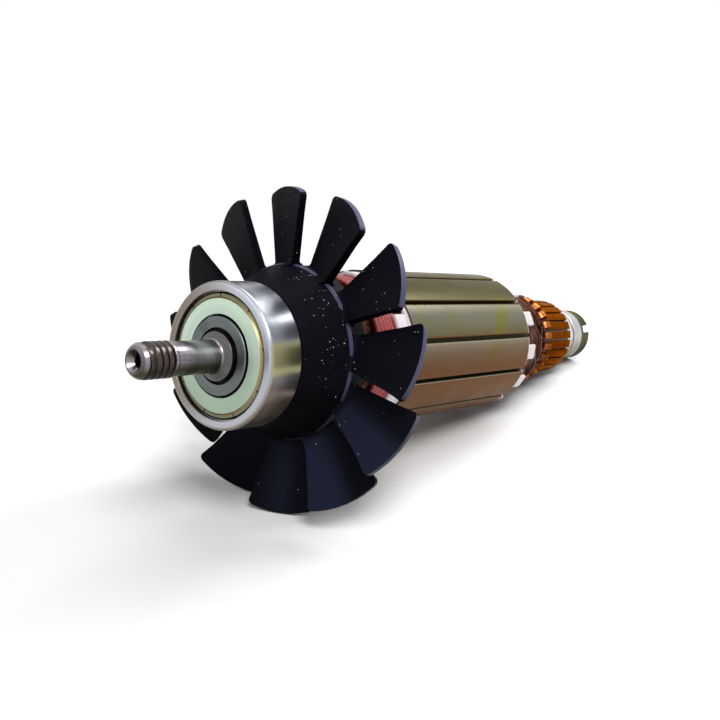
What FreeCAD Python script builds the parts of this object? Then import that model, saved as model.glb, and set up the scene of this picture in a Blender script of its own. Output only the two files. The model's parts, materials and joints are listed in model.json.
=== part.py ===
import FreeCAD, Part
import math
import os

# Motor armature of a small angle grinder, lying on its fan and its rear end.
# Every piece is drawn in the rotor frame first: X runs along the shaft from the front
# face of the front bearing to the rear, Z is up and clock angles turn from +Z to -Y.
# The last step tilts the whole rotor on to the surface that it lies on. Millimetres.

V = FreeCAD.Vector
ORIGIN = V(0, 0, 0)
AXIS = V(1, 0, 0)

# Shaft
nose_length = 20.5
nose_radius = 3.35
thread_radius = 3.6
thread_end = -12.3
nose_dome = 1.9
centre_hole_radius = 2.0
centre_pilot_radius = 0.8
centre_hole_depth = 4.2
tip_corner = 0.5
shoulder_length = 1.4
front_seat_radius = 5.0
body_radius = 6.0
commutator_seat_radius = 5.5
rear_seat_radius = 4.0
edge_break = 0.3

# Front bearing, 10 x 30 x 9
front_bearing = {
    "bore": front_seat_radius, "outer": 15.0, "width": 9.0, "start": 0.0,
    "inner_land": 8.0, "outer_land": 12.3, "ball": 2.34, "balls": 8,
    "shield_seat": 13.0, "shield_inset": 0.35, "corner": 0.6, "bore_corner": 0.7,
}
# Rear bearing, 8 x 16 x 5
rear_bearing_width = 5.0
rear_bearing_radius = 8.0
ball_clearance = 0.06
pocket_clearance = 0.10
shield_thickness = 0.3
shield_clearance = 0.35
shield_step_share = 0.66
shield_flange_share = 0.78
shield_step_sheets = 2
shield_pocket_sheets = 3
cage_thickness = 0.7

# Fan, one moulding
fan_gap = 0.6
fan_blades = 12
fan_clock = 302.6
hub_front_radius = 14.4
hub_rim_radius = 19.0
hub_rim_x = 19.6
hub_end_x = 24.6
hub_wall = 2.0
hub_boss_radius = 9.2
hub_front_corner = 0.8
hub_rim_corner = 0.6
hub_rim_taper = 0.3
blade_root_front = (19.5, -3.4)
blade_root_rear = (22.0, -24.5)
blade_tip_front = (16.9, 34.3, 0.0)
blade_tip_rear = (23.4, 34.6, -24.2)
blade_tip_middle_radius = 35.2
blade_root_thickness = 2.0
blade_tip_thickness = 1.5
blade_corner = 0.9
blade_trim = 2.0
blade_trim_depth = 12.0
blade_root_sink = 1.8

# Laminated core
core_start = 43.0
core_length = 52.2
core_radius = 18.2
slots = 12
slot_clock = 13.1
slot_opening = 1.0
slot_lip = 1.2
slot_depth = 7.6
slot_top_width = 5.2
slot_bottom_width = 2.6
slot_shoulder_share = 0.7
tube_wall = 1.0
liner_wall = 0.3
wedge_thickness = 0.6
wedge_overlap = 0.8
insulator_thickness = 1.1
insulator_step = 0.5
tab_length = 3.8
tab_width = 4.0
tab_thickness = 1.0

# Winding
head_gap = 1.0
front_head_length = 13.6
rear_head_length = 14.6
rear_head_end_radius = 12.2
head_corner = 3.5
head_slope_gap = 1.0
head_end_corner = 1.0
tube_overhang = 1.5
bundle_radius = 2.4
bundle_reach = 4.2
bundle_slant = 38.0
bundle_setback = 3.84
bundle_depth = 4.08
bundle_rear_depth = 1.8
banding_start = 3.8
banding_turns = 6
banding_pitch = 1.3
banding_foot = 0.39
banding_rise = 0.52
lead_radius = 0.27
lead_half_angle = 5.4
lead_end_gap = 0.05
lead_end_depth = 1.2

# Commutator
commutator_gap = 4.6
bars = 24
bar_length = 16.4
bar_radius = 11.0
bar_depth = 3.4
bar_slit = 0.55
bar_corner = 0.4
slit_undercut = 0.8
hook_width = 1.4
hook_height = 2.1
hook_reach = 3.4
hook_thickness = 0.75
hook_foot = 0.4
hook_bend = 1.3
flange_thickness = 3.0
flange_drop = 0.9
flange_slope = 1.0
flange_corner = 0.6
rear_flange_slope = 0.8
bush_wall = 1.1

# Rear end
collar_length = 7.8
collar_radius = 9.4
collar_neck_radius = 7.8
collar_flange_share = 0.2
collar_slope_share = 0.5
collar_edge = 0.5
collar_bend = 1.0
neck_edge = 0.3
bearing_face_step = 0.5
face_land = 1.2
end_collar_length = 6.0
end_collar_radius = 7.7
end_collar_edge = 0.6
end_notches = 2
end_notch_width = 2.4
end_notch_depth = 4.2
end_notch_clock = 63.9
shaft_recess = 2.0

# Places along the shaft that follow from the sizes above
fan_start = front_bearing["start"] + front_bearing["width"] + fan_gap
core_end = core_start + core_length
insulator_radius = core_radius - insulator_step
head_radius = insulator_radius - tab_thickness - head_gap
front_disc_face = core_start - insulator_thickness
rear_disc_face = core_end + insulator_thickness
front_head_start = front_disc_face - front_head_length
rear_head_end = rear_disc_face + rear_head_length
commutator_start = rear_head_end + commutator_gap
bar_start = commutator_start + flange_thickness
bar_end = bar_start + bar_length
commutator_end = bar_end + flange_thickness / 2
collar_end = commutator_end + collar_length
rear_bearing_end = collar_end + rear_bearing_width
rotor_end = rear_bearing_end + end_collar_length
tube_radius = body_radius + tube_wall
slot_pitch = 360.0 / slots
bar_pitch = 360.0 / bars

rear_bearing = {
    "bore": rear_seat_radius, "outer": rear_bearing_radius, "width": rear_bearing_width,
    "start": collar_end, "inner_land": 5.4, "outer_land": 6.7, "ball": 0.95, "balls": 11,
    "shield_seat": 7.15, "shield_inset": 0.2, "corner": 0.3, "bore_corner": 0.2,
}


def rounded_wire(points):
    """Closed wire through (x, r) points in the XZ plane; a third value rounds that corner."""
    corners = []
    count = len(points)
    for i in range(count):
        here = V(points[i][0], 0, points[i][1])
        radius = points[i][2] if len(points[i]) > 2 else 0
        if not radius:
            corners.append((here, here, here))
            continue
        before = points[i - 1]
        after = points[(i + 1) % count]
        back = (V(before[0], 0, before[1]) - here).normalize()
        ahead = (V(after[0], 0, after[1]) - here).normalize()
        half = back.getAngle(ahead) / 2
        run = radius / math.tan(half)
        middle = here + (back + ahead).normalize() * (radius / math.sin(half) - radius)
        corners.append((here + back * run, middle, here + ahead * run))
    edges = []
    for i in range(count):
        first, middle, last = corners[i]
        if not first.isEqual(last, 1e-6):
            edges.append(Part.Arc(first, middle, last).toShape())
        following = corners[(i + 1) % count][0]
        if not last.isEqual(following, 1e-6):
            edges.append(Part.LineSegment(last, following).toShape())
    return Part.Wire(edges)


def turned(points, angle=360):
    """Solid turned about the shaft axis from (x, r) points."""
    return Part.Face(rounded_wire(points)).revolve(ORIGIN, AXIS, angle)


def ring(start, end, inner, outer):
    """Plain ring from start to end along the shaft."""
    return turned([(start, inner), (end, inner), (end, outer), (start, outer)])


def clocked(shape, angle):
    """Copy of a shape turned about the shaft by a clock angle."""
    copy = shape.copy()
    copy.rotate(ORIGIN, AXIS, angle)
    return copy


def around(shape, count, first=0.0):
    """Evenly spaced copies of a shape about the shaft."""
    return [clocked(shape, first + i * 360.0 / count) for i in range(count)]


def fused(shapes):
    """One solid from touching shapes, without the seams between them."""
    return shapes[0].multiFuse(shapes[1:]).removeSplitter()


def at(x, r, angle):
    """Point at a place along the shaft, a radius and a clock angle."""
    turn = math.radians(angle)
    return V(x, -r * math.sin(turn), r * math.cos(turn))


def rod(start, end, radius):
    """Round rod between two points."""
    run = end - start
    return Part.makeCylinder(radius, run.Length, start, run)


def make_shaft():
    """Stepped shaft with a domed, centre-drilled nose."""
    tip = -nose_length
    cone = centre_hole_radius - centre_pilot_radius
    seat_start = front_bearing["start"] - edge_break
    end = rotor_end - shaft_recess
    return turned([
        (tip + centre_hole_depth + centre_pilot_radius / 2, 0),
        (tip + centre_hole_depth, centre_pilot_radius),
        (tip + cone * math.sqrt(3), centre_pilot_radius),
        (tip, centre_hole_radius),
        (tip, thread_radius - nose_dome / 2, tip_corner),
        (tip + nose_dome, thread_radius, nose_dome),
        (thread_end, thread_radius),
        (thread_end, nose_radius),
        (seat_start - shoulder_length, nose_radius, shoulder_length / 2),
        (seat_start - edge_break, front_seat_radius),
        (front_bearing["start"] + front_bearing["width"], front_seat_radius),
        (front_bearing["start"] + front_bearing["width"], body_radius),
        (rear_head_end, body_radius),
        (rear_head_end, commutator_seat_radius),
        (commutator_end, commutator_seat_radius),
        (commutator_end, rear_seat_radius),
        (end - edge_break, rear_seat_radius),
        (end, rear_seat_radius - edge_break),
        (end, 0),
    ])


def pitch_radius(bearing):
    """Radius of the ball centres of a bearing."""
    return (bearing["bore"] + bearing["outer"]) / 2


def ball_groove(bearing):
    """Torus that cuts the ball track into both rings."""
    middle = bearing["start"] + bearing["width"] / 2
    track = bearing["ball"] + ball_clearance
    return Part.makeTorus(pitch_radius(bearing), track, V(middle, 0, 0), AXIS)


def inner_ring(bearing):
    """Inner bearing ring with its ball track."""
    first = bearing["start"]
    last = first + bearing["width"]
    corner = bearing["bore_corner"]
    blank = turned([
        (first + corner, bearing["bore"]),
        (last - corner, bearing["bore"]),
        (last, bearing["bore"] + corner),
        (last, bearing["inner_land"]),
        (first, bearing["inner_land"]),
        (first, bearing["bore"] + corner),
    ])
    return blank.cut(ball_groove(bearing))


def outer_ring(bearing):
    """Outer bearing ring with its ball track and a seat for each shield."""
    first = bearing["start"]
    last = first + bearing["width"]
    seat = bearing["shield_inset"] + shield_pocket_sheets * shield_thickness
    corner = bearing["corner"]
    blank = turned([
        (first, bearing["outer"], corner),
        (last, bearing["outer"], corner),
        (last, bearing["shield_seat"]),
        (last - seat, bearing["shield_seat"]),
        (last - seat, bearing["outer_land"]),
        (first + seat, bearing["outer_land"]),
        (first + seat, bearing["shield_seat"]),
        (first, bearing["shield_seat"]),
    ])
    return blank.cut(ball_groove(bearing))


def bearing_balls(bearing):
    """All balls of a bearing on their pitch circle."""
    middle = bearing["start"] + bearing["width"] / 2
    ball = Part.makeSphere(bearing["ball"], V(middle, 0, pitch_radius(bearing)))
    return Part.makeCompound(around(ball, bearing["balls"]))


def bearing_cage(bearing):
    """Ring that spaces the balls, with a pocket for each."""
    middle = bearing["start"] + bearing["width"] / 2
    pocket = bearing["ball"] + pocket_clearance
    half = pocket + cage_thickness / 2
    radius = pitch_radius(bearing)
    band = ring(middle - half, middle + half, radius - cage_thickness / 2, radius + cage_thickness / 2)
    hole = Part.makeSphere(pocket, V(middle, 0, radius))
    return band.cut(Part.makeCompound(around(hole, bearing["balls"])))


def bearing_shield(bearing, side):
    """Pressed shield with a stepped rim; side is 1 at the front face and -1 at the rear."""
    face = bearing["start"] if side > 0 else bearing["start"] + bearing["width"]
    inner = bearing["inner_land"] + shield_clearance
    outer = bearing["shield_seat"]
    seat = bearing["shield_inset"] + shield_step_sheets * shield_thickness
    step = inner + (outer - inner) * shield_step_share
    rim = inner + (outer - inner) * shield_flange_share
    sheet = shield_thickness
    inset = bearing["shield_inset"]
    points = [
        (inset, inner), (inset, step), (seat, rim), (seat, outer),
        (seat + sheet, outer), (seat + sheet, rim - sheet / 2),
        (inset + sheet, step - sheet / 2), (inset + sheet, inner),
    ]
    return turned([(face + side * x, r) for x, r in points])


def make_bearing(name, bearing):
    """The six kinds of piece of one shielded ball bearing."""
    return {
        name + "_inner_ring": inner_ring(bearing),
        name + "_outer_ring": outer_ring(bearing),
        name + "_balls": bearing_balls(bearing),
        name + "_cage": bearing_cage(bearing),
        name + "_front_shield": bearing_shield(bearing, 1),
        name + "_rear_shield": bearing_shield(bearing, -1),
    }


def fan_hub():
    """Flared hub shell with the boss that is pressed on to the shaft."""
    inside = hub_rim_radius - hub_wall
    web = fan_start + hub_wall
    return turned([
        (fan_start, body_radius),
        (fan_start, hub_front_radius, hub_front_corner),
        (hub_rim_x, hub_rim_radius, hub_rim_corner),
        (hub_end_x, hub_rim_radius - hub_rim_taper),
        (hub_end_x, inside),
        (hub_rim_x, inside, hub_wall),
        (web, hub_boss_radius + hub_wall, hub_wall / 2),
        (web, hub_boss_radius, hub_wall / 4),
        (hub_end_x, hub_boss_radius),
        (hub_end_x, body_radius),
    ])


def blade_section(front, rear, out, thickness):
    """Thin four-cornered section of a blade, square to the direction out."""
    across = out.cross(rear - front).normalize() * (thickness / 2)
    extra = (rear - front).normalize() * blade_trim
    first = front - extra
    last = rear + extra
    corners = [first - across, last - across, last + across, first + across]
    return Part.makePolygon(corners + corners[:1])


def make_blade():
    """One pitched, slightly twisted blade with an arc tip and rounded tip corners."""
    root_front = at(blade_root_front[0], hub_rim_radius, blade_root_front[1])
    root_rear = at(blade_root_rear[0], hub_rim_radius, blade_root_rear[1])
    tip_front = at(*blade_tip_front)
    tip_rear = at(*blade_tip_rear)
    middle_angle = (blade_tip_front[2] + blade_tip_rear[2]) / 2
    out = at(0, 1, middle_angle)

    def cut_at(height):
        """Front and rear edge points on the plane at a height along out."""
        points = []
        for root, tip in ((root_front, tip_front), (root_rear, tip_rear)):
            share = (height - root.dot(out)) / (tip - root).dot(out)
            points.append(root + (tip - root) * share)
        return points

    low = hub_rim_radius - hub_wall
    high = blade_tip_middle_radius + 1
    slab = Part.makeLoft([
        blade_section(*cut_at(low), out, blade_root_thickness),
        blade_section(*cut_at(high), out, blade_tip_thickness),
    ], True, True)

    # The outline is cut square to the middle of the blade.
    front, rear = cut_at((low + high) / 2)
    normal = out.cross(rear - front).normalize()
    tip_middle = at((blade_tip_front[0] + blade_tip_rear[0]) / 2, blade_tip_middle_radius, middle_angle)
    root_points = cut_at(low)
    outline = [root_points[0], tip_front, tip_middle, tip_rear, root_points[1]]
    depth = blade_trim_depth
    flat = [p - normal * ((p - front).dot(normal) + depth / 2) for p in outline]
    wire = Part.Wire([
        Part.LineSegment(flat[0], flat[1]).toShape(),
        Part.Arc(flat[1], flat[2], flat[3]).toShape(),
        Part.LineSegment(flat[3], flat[4]).toShape(),
        Part.LineSegment(flat[4], flat[0]).toShape(),
    ])
    cutter = Part.Face(wire).extrude(normal * depth)
    tip_edges = [
        edge for edge in cutter.Edges
        if abs(edge.Length - depth) < 1e-6 and edge.CenterOfMass.dot(out) > (low + high) / 2
    ]
    cutter = cutter.makeFillet(blade_corner, tip_edges)
    return slab.common(cutter)


def make_fan():
    """Axial fan: hub and pitched blades in one moulding."""
    sunk = hub_rim_radius - blade_root_sink
    hub_bore = Part.makeCylinder(sunk, hub_end_x - fan_start, V(fan_start, 0, 0), AXIS)
    blade = make_blade().cut(hub_bore)
    return fused([fan_hub()] + around(blade, fan_blades, fan_clock))


def slot_outline(grow):
    """Closed wire of the slot at clock angle 0, in a plane square to the shaft; grow widens it."""
    top = core_radius - slot_lip + grow
    bottom = core_radius - slot_lip - slot_depth - grow
    half_top = slot_top_width / 2 + grow
    half_bottom = slot_bottom_width / 2 + grow
    flat_top = half_top * slot_shoulder_share
    shoulder = top - half_top / 2
    half = [(half_bottom, bottom), (half_top, shoulder), (flat_top, top)]
    points = [V(0, y, z) for y, z in half] + [V(0, -y, z) for y, z in reversed(half)]
    return Part.makePolygon(points + points[:1])


def slot_prism(grow, start, end):
    """Slot-shaped bar from start to end along the shaft."""
    wire = slot_outline(grow)
    wire.translate(V(start, 0, 0))
    return Part.Face(wire).extrude(V(end - start, 0, 0))


def slot_mouth(width, inner, outer, start, end):
    """Straight-sided bar at the mouth of a slot."""
    return Part.makeBox(end - start, width, outer - inner, V(start, -width / 2, inner))


def core_sheet(start, end, radius):
    """Round sheet or stack with the shaft hole and all slots cut."""
    blank = ring(start, end, tube_radius, radius)
    inner = core_radius - slot_lip - slot_depth / 2
    cutter = fused([
        slot_prism(0, start, end),
        slot_mouth(slot_opening, inner, core_radius + slot_lip, start, end),
    ])
    return blank.cut(Part.makeCompound(around(cutter, slots, slot_clock)))


def make_insulator(core_face, direction):
    """White end insulator: a slotted sheet with a tab standing on each tooth."""
    face = core_face + direction * insulator_thickness
    start = min(core_face, face)
    sheet = core_sheet(start, start + insulator_thickness, insulator_radius)
    tab_start = min(face, face + direction * tab_length)
    tab_inside = insulator_radius - tab_thickness
    tab_ring = ring(tab_start, tab_start + tab_length, tab_inside, insulator_radius)
    pad = Part.makeBox(tab_length, tab_width, core_radius, V(tab_start, -tab_width / 2, 0))
    tab = tab_ring.common(pad)
    return fused([sheet] + around(tab, slots, slot_clock + slot_pitch / 2))


def make_slot_parts():
    """Liners, wedges and coil sides that fill the slots."""
    ends = (front_disc_face, rear_disc_face)
    wedge_top = core_radius - slot_lip - liner_wall
    wedge_bottom = wedge_top - wedge_thickness
    room = slot_mouth(slot_top_width, wedge_bottom, core_radius, *ends)
    inside = slot_prism(-liner_wall, *ends)
    coil = inside.cut(room)
    liner = slot_prism(0, *ends).cut(inside).cut(room)
    wedge = slot_mouth(slot_opening + 2 * wedge_overlap, wedge_bottom, wedge_top, *ends)
    return {
        "slot_coils": Part.makeCompound(around(coil, slots, slot_clock)),
        "slot_liners": Part.makeCompound(around(liner, slots, slot_clock)),
        "slot_wedges": Part.makeCompound(around(wedge, slots, slot_clock)),
    }


def coil_bundles(x, radius):
    """Slanted, round-ended wire bundles that cross over the end of a winding head."""
    slant = math.radians(bundle_slant)
    reach = V(math.sin(slant), math.cos(slant), 0) * bundle_reach
    middle = V(x, 0, radius)
    bundle = fused([
        rod(middle - reach, middle + reach, bundle_radius),
        Part.makeSphere(bundle_radius, middle - reach),
        Part.makeSphere(bundle_radius, middle + reach),
    ])
    return around(bundle, slots, slot_clock)


def make_front_head():
    """Front winding head, a bulging ring of crossing bundles."""
    body = turned([
        (front_head_start + bundle_radius, tube_radius),
        (front_head_start + bundle_radius, head_radius, head_corner),
        (front_disc_face, head_radius),
        (front_disc_face, tube_radius),
    ])
    bundles = coil_bundles(front_head_start + bundle_setback, head_radius - bundle_depth)
    return fused([body] + bundles)


def make_rear_head():
    """Rear winding head, tapering towards the commutator."""
    slope_start = rear_disc_face + tab_length + head_slope_gap
    body = turned([
        (rear_disc_face, tube_radius),
        (rear_disc_face, head_radius),
        (slope_start, head_radius, head_corner),
        (rear_head_end, rear_head_end_radius, head_end_corner),
        (rear_head_end, tube_radius),
    ])
    middle = (slope_start + rear_head_end) / 2
    radius = (head_radius + rear_head_end_radius) / 2 - bundle_rear_depth
    return fused([body] + coil_bundles(middle, radius))


def make_banding():
    """Cord wound round the front winding head in side-by-side turns."""
    start = front_head_start + banding_start
    end = start + banding_turns * banding_pitch
    low = head_radius + banding_foot
    edges = []
    for i in range(banding_turns):
        x = start + i * banding_pitch
        crest = V(x + banding_pitch / 2, 0, low + banding_rise)
        arc = Part.Arc(V(x, 0, low), crest, V(x + banding_pitch, 0, low))
        edges.append(arc.toShape())
    foot = [V(end, 0, low), V(end, 0, head_radius), V(start, 0, head_radius), V(start, 0, low)]
    wire = Part.Wire(edges + Part.makePolygon(foot).Edges)
    return Part.Face(wire).revolve(ORIGIN, AXIS, 360)


def make_bar():
    """One commutator bar with its wire hook, at clock angle 0."""
    inner = bar_radius - bar_depth
    width = bar_pitch - math.degrees(bar_slit / bar_radius)
    body = turned([
        (bar_start, inner),
        (bar_end, inner),
        (bar_end, bar_radius, bar_corner),
        (bar_start, bar_radius),
    ], width)
    body.rotate(ORIGIN, AXIS, -width / 2)
    front = bar_start - hook_reach / 2
    top = bar_radius + hook_height
    sheet = hook_thickness
    bent = sheet * hook_bend
    hook = Part.Face(rounded_wire([
        (bar_start + hook_foot, bar_radius - sheet),
        (front, bar_radius - sheet),
        (front, top, sheet),
        (front + hook_reach, top - sheet / 2, sheet / 3),
        (front + hook_reach, top - bent),
        (front + bent, top - sheet),
        (front + bent, bar_radius),
        (bar_start + hook_foot, bar_radius),
    ])).extrude(V(0, hook_width, 0))
    hook.translate(V(0, -hook_width / 2, 0))
    return fused([body, hook])


def make_commutator():
    """Bars, moulding and bush of the commutator."""
    inner = bar_radius - bar_depth
    bush_radius = commutator_seat_radius + bush_wall
    flange = bar_radius - flange_drop
    rear_flange = bar_radius - slit_undercut * 2
    core = turned([
        (commutator_start, bush_radius),
        (commutator_start, flange - flange_slope, flange_corner),
        (bar_start, flange),
        (bar_start, inner),
        (bar_end, inner),
        (bar_end, rear_flange),
        (commutator_end, rear_flange - rear_flange_slope),
        (commutator_end, bush_radius),
    ])
    rib_top = bar_radius - slit_undercut
    rib_width = math.degrees(bar_slit / bar_radius)
    rib_section = [(bar_start, inner), (bar_end, inner), (bar_end, rib_top), (bar_start, rib_top)]
    rib = turned(rib_section, rib_width)
    rib.rotate(ORIGIN, AXIS, -rib_width / 2)
    return {
        "commutator_bars": Part.makeCompound(around(make_bar(), bars)),
        "commutator_moulding": fused([core] + around(rib, bars, bar_pitch / 2)),
        "commutator_bush": ring(commutator_start, commutator_end, commutator_seat_radius, bush_radius),
    }


def make_leads():
    """Wires that run from the rear winding head round the commutator hooks."""
    side = lead_half_angle
    hooked = bar_radius + (hook_height - hook_thickness) / 2
    turn_x = bar_start + hook_thickness / 2
    start = rear_head_end + lead_end_gap
    out_radius = rear_head_end_radius - lead_end_depth
    lead = fused([
        rod(at(start, out_radius, side), at(turn_x, hooked, side), lead_radius),
        rod(at(turn_x, hooked, side), at(turn_x, hooked, -side), lead_radius),
        rod(at(turn_x, hooked, -side), at(start, out_radius, -side), lead_radius),
    ])
    return Part.makeCompound(around(lead, bars))


def make_rear_collar():
    """Turned collar between the commutator and the rear bearing."""
    flange_end = commutator_end + collar_length * collar_flange_share
    slope_end = commutator_end + collar_length * collar_slope_share
    return turned([
        (commutator_end, rear_seat_radius),
        (commutator_end, collar_radius, collar_edge),
        (flange_end, collar_radius, collar_bend),
        (slope_end, collar_neck_radius, collar_bend),
        (collar_end - bearing_face_step, collar_neck_radius, neck_edge),
        (collar_end - bearing_face_step, rear_seat_radius + face_land),
        (collar_end, rear_seat_radius + face_land),
        (collar_end, rear_seat_radius),
    ])


def make_end_collar():
    """Notched collar on the end of the shaft behind the rear bearing."""
    start = rear_bearing_end
    land = rear_seat_radius + face_land
    blank = turned([
        (start, rear_seat_radius),
        (start, land),
        (start + bearing_face_step, land),
        (start + bearing_face_step, end_collar_radius, neck_edge),
        (rotor_end, end_collar_radius, end_collar_edge),
        (rotor_end, rear_seat_radius),
    ])
    corner = V(rotor_end - end_notch_depth, -end_notch_width / 2, land - face_land / 2)
    notch = Part.makeBox(end_notch_depth, end_notch_width, end_collar_radius, corner)
    return blank.cut(Part.makeCompound(around(notch, end_notches, end_notch_clock)))


def rest_tilt(fan, end_collar):
    """Nose-up angle at which the fan and the end collar stand on one level."""
    low, high = 0.0, 30.0
    for _ in range(30):
        tilt = (low + high) / 2
        depths = []
        for shape in (fan, end_collar):
            copy = shape.copy()
            copy.rotate(ORIGIN, V(0, 1, 0), tilt)
            depths.append(copy.optimalBoundingBox(False, False).ZMin)
        if depths[0] < depths[1]:
            low = tilt
        else:
            high = tilt
    return (low + high) / 2


def make_parts():
    """All pieces in the rotor frame, by node name."""
    tube = ring(front_head_start - tube_overhang, rear_head_end, body_radius, tube_radius)
    parts = {"shaft": make_shaft(), "fan": make_fan(), "shaft_insulating_tube": tube}
    parts.update(make_bearing("front_bearing", front_bearing))
    parts["lamination_stack"] = core_sheet(core_start, core_end, core_radius)
    parts["front_end_insulator"] = make_insulator(core_start, -1)
    parts["rear_end_insulator"] = make_insulator(core_end, 1)
    parts.update(make_slot_parts())
    parts["front_winding_head"] = make_front_head()
    parts["rear_winding_head"] = make_rear_head()
    parts["front_banding_cord"] = make_banding()
    parts.update(make_commutator())
    parts["commutator_leads"] = make_leads()
    parts["rear_collar"] = make_rear_collar()
    parts.update(make_bearing("rear_bearing", rear_bearing))
    parts["notched_end_collar"] = make_end_collar()
    return parts


def main():
    """Build the pieces, lay the rotor down and write one STEP file per node."""
    os.makedirs("parts", exist_ok=True)
    parts = make_parts()
    tilt = rest_tilt(parts["fan"], parts["notched_end_collar"])
    for shape in parts.values():
        shape.rotate(ORIGIN, V(0, 1, 0), tilt)
    box = FreeCAD.BoundBox()
    for shape in parts.values():
        box.add(shape.optimalBoundingBox(False, False))
    move = V(-box.Center.x, -box.Center.y, -box.ZMin)
    for name, shape in parts.items():
        shape.translate(move)
        shape.exportStep("parts/" + name + ".step")
        print(name, "solids", len(shape.Solids), "valid", shape.isValid(), "volume", round(shape.Volume, 1))
    print("nose-up tilt", round(tilt, 3), "shaft origin", [round(v, 3) for v in move])
    print("size", round(box.XLength, 2), round(box.YLength, 2), round(box.ZLength, 2))
    for label, place in (("bar_start", bar_start), ("bar_end", bar_end), ("collar_end", collar_end)):
        print("place", label, round(place, 3))


main()
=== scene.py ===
"""Looks of a power tool's motor armature, which lies on its fan and its rear end.

Every new piece is modelled in the rotor's own frame: X runs along the shaft from the front
face of the front bearing, Z is up, and clock angles turn from +Z to -Y. Sizes are millimetres
and degrees. RotorFrame then lays the finished piece on the floor, in metres.
"""
import sys

import json
import logging
import math
from abc import ABC, abstractmethod
from collections.abc import Callable, Iterator, Mapping, Sequence
from contextlib import contextmanager
from dataclasses import dataclass
from enum import Enum
from random import Random

import bmesh
import bpy
from mathutils import Matrix, Vector

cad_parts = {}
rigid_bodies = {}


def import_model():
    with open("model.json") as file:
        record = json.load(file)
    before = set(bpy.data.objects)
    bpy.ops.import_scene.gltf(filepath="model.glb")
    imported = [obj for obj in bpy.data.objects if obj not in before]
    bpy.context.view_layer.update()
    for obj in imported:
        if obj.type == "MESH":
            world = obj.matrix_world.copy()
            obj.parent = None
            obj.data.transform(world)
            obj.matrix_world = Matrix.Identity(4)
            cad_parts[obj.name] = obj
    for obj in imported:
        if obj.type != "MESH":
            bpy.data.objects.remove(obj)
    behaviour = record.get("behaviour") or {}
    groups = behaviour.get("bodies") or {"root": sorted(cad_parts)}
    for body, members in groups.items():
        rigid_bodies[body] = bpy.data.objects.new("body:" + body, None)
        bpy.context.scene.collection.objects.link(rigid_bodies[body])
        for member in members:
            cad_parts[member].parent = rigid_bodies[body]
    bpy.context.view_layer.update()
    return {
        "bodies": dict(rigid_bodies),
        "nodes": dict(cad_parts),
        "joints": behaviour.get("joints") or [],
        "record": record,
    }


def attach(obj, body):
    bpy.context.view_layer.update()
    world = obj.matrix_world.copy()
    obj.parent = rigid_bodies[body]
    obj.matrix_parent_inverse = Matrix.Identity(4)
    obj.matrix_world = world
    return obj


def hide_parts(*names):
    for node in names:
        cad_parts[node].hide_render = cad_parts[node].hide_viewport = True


log = logging.getLogger("armature")

MM = 0.001
FULL_TURN = 2 * math.pi

# Facets round a turned piece, and how near two points may lie before they are one.
ROUND_STEPS = 128
WELD_DISTANCE = 1e-4

# The core's slots: their number, the clock angle of the first one's middle, and the angle between two.
CORE_SLOTS = 12
SLOT_CLOCK = 13.1
SLOT_PITCH = 360.0 / CORE_SLOTS

# Places along the shaft where two parts meet.
REAR_HEAD_END = 110.9
COLLAR_START = 136.4
REAR_BEARING_START = 144.2

Colour = tuple[float, float, float]
Spot = tuple[float, float, float]
Corner = tuple[float, float] | tuple[float, float, float]
Piece = bpy.types.Object
Socket = bpy.types.NodeSocket
Place = Mapping[str, Socket]


class Body(Enum):
    """Moving groups of the armature."""

    ROTOR = "rotor"
    FRONT_OUTER = "front_outer_ring"
    REAR_OUTER = "rear_outer_ring"


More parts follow.
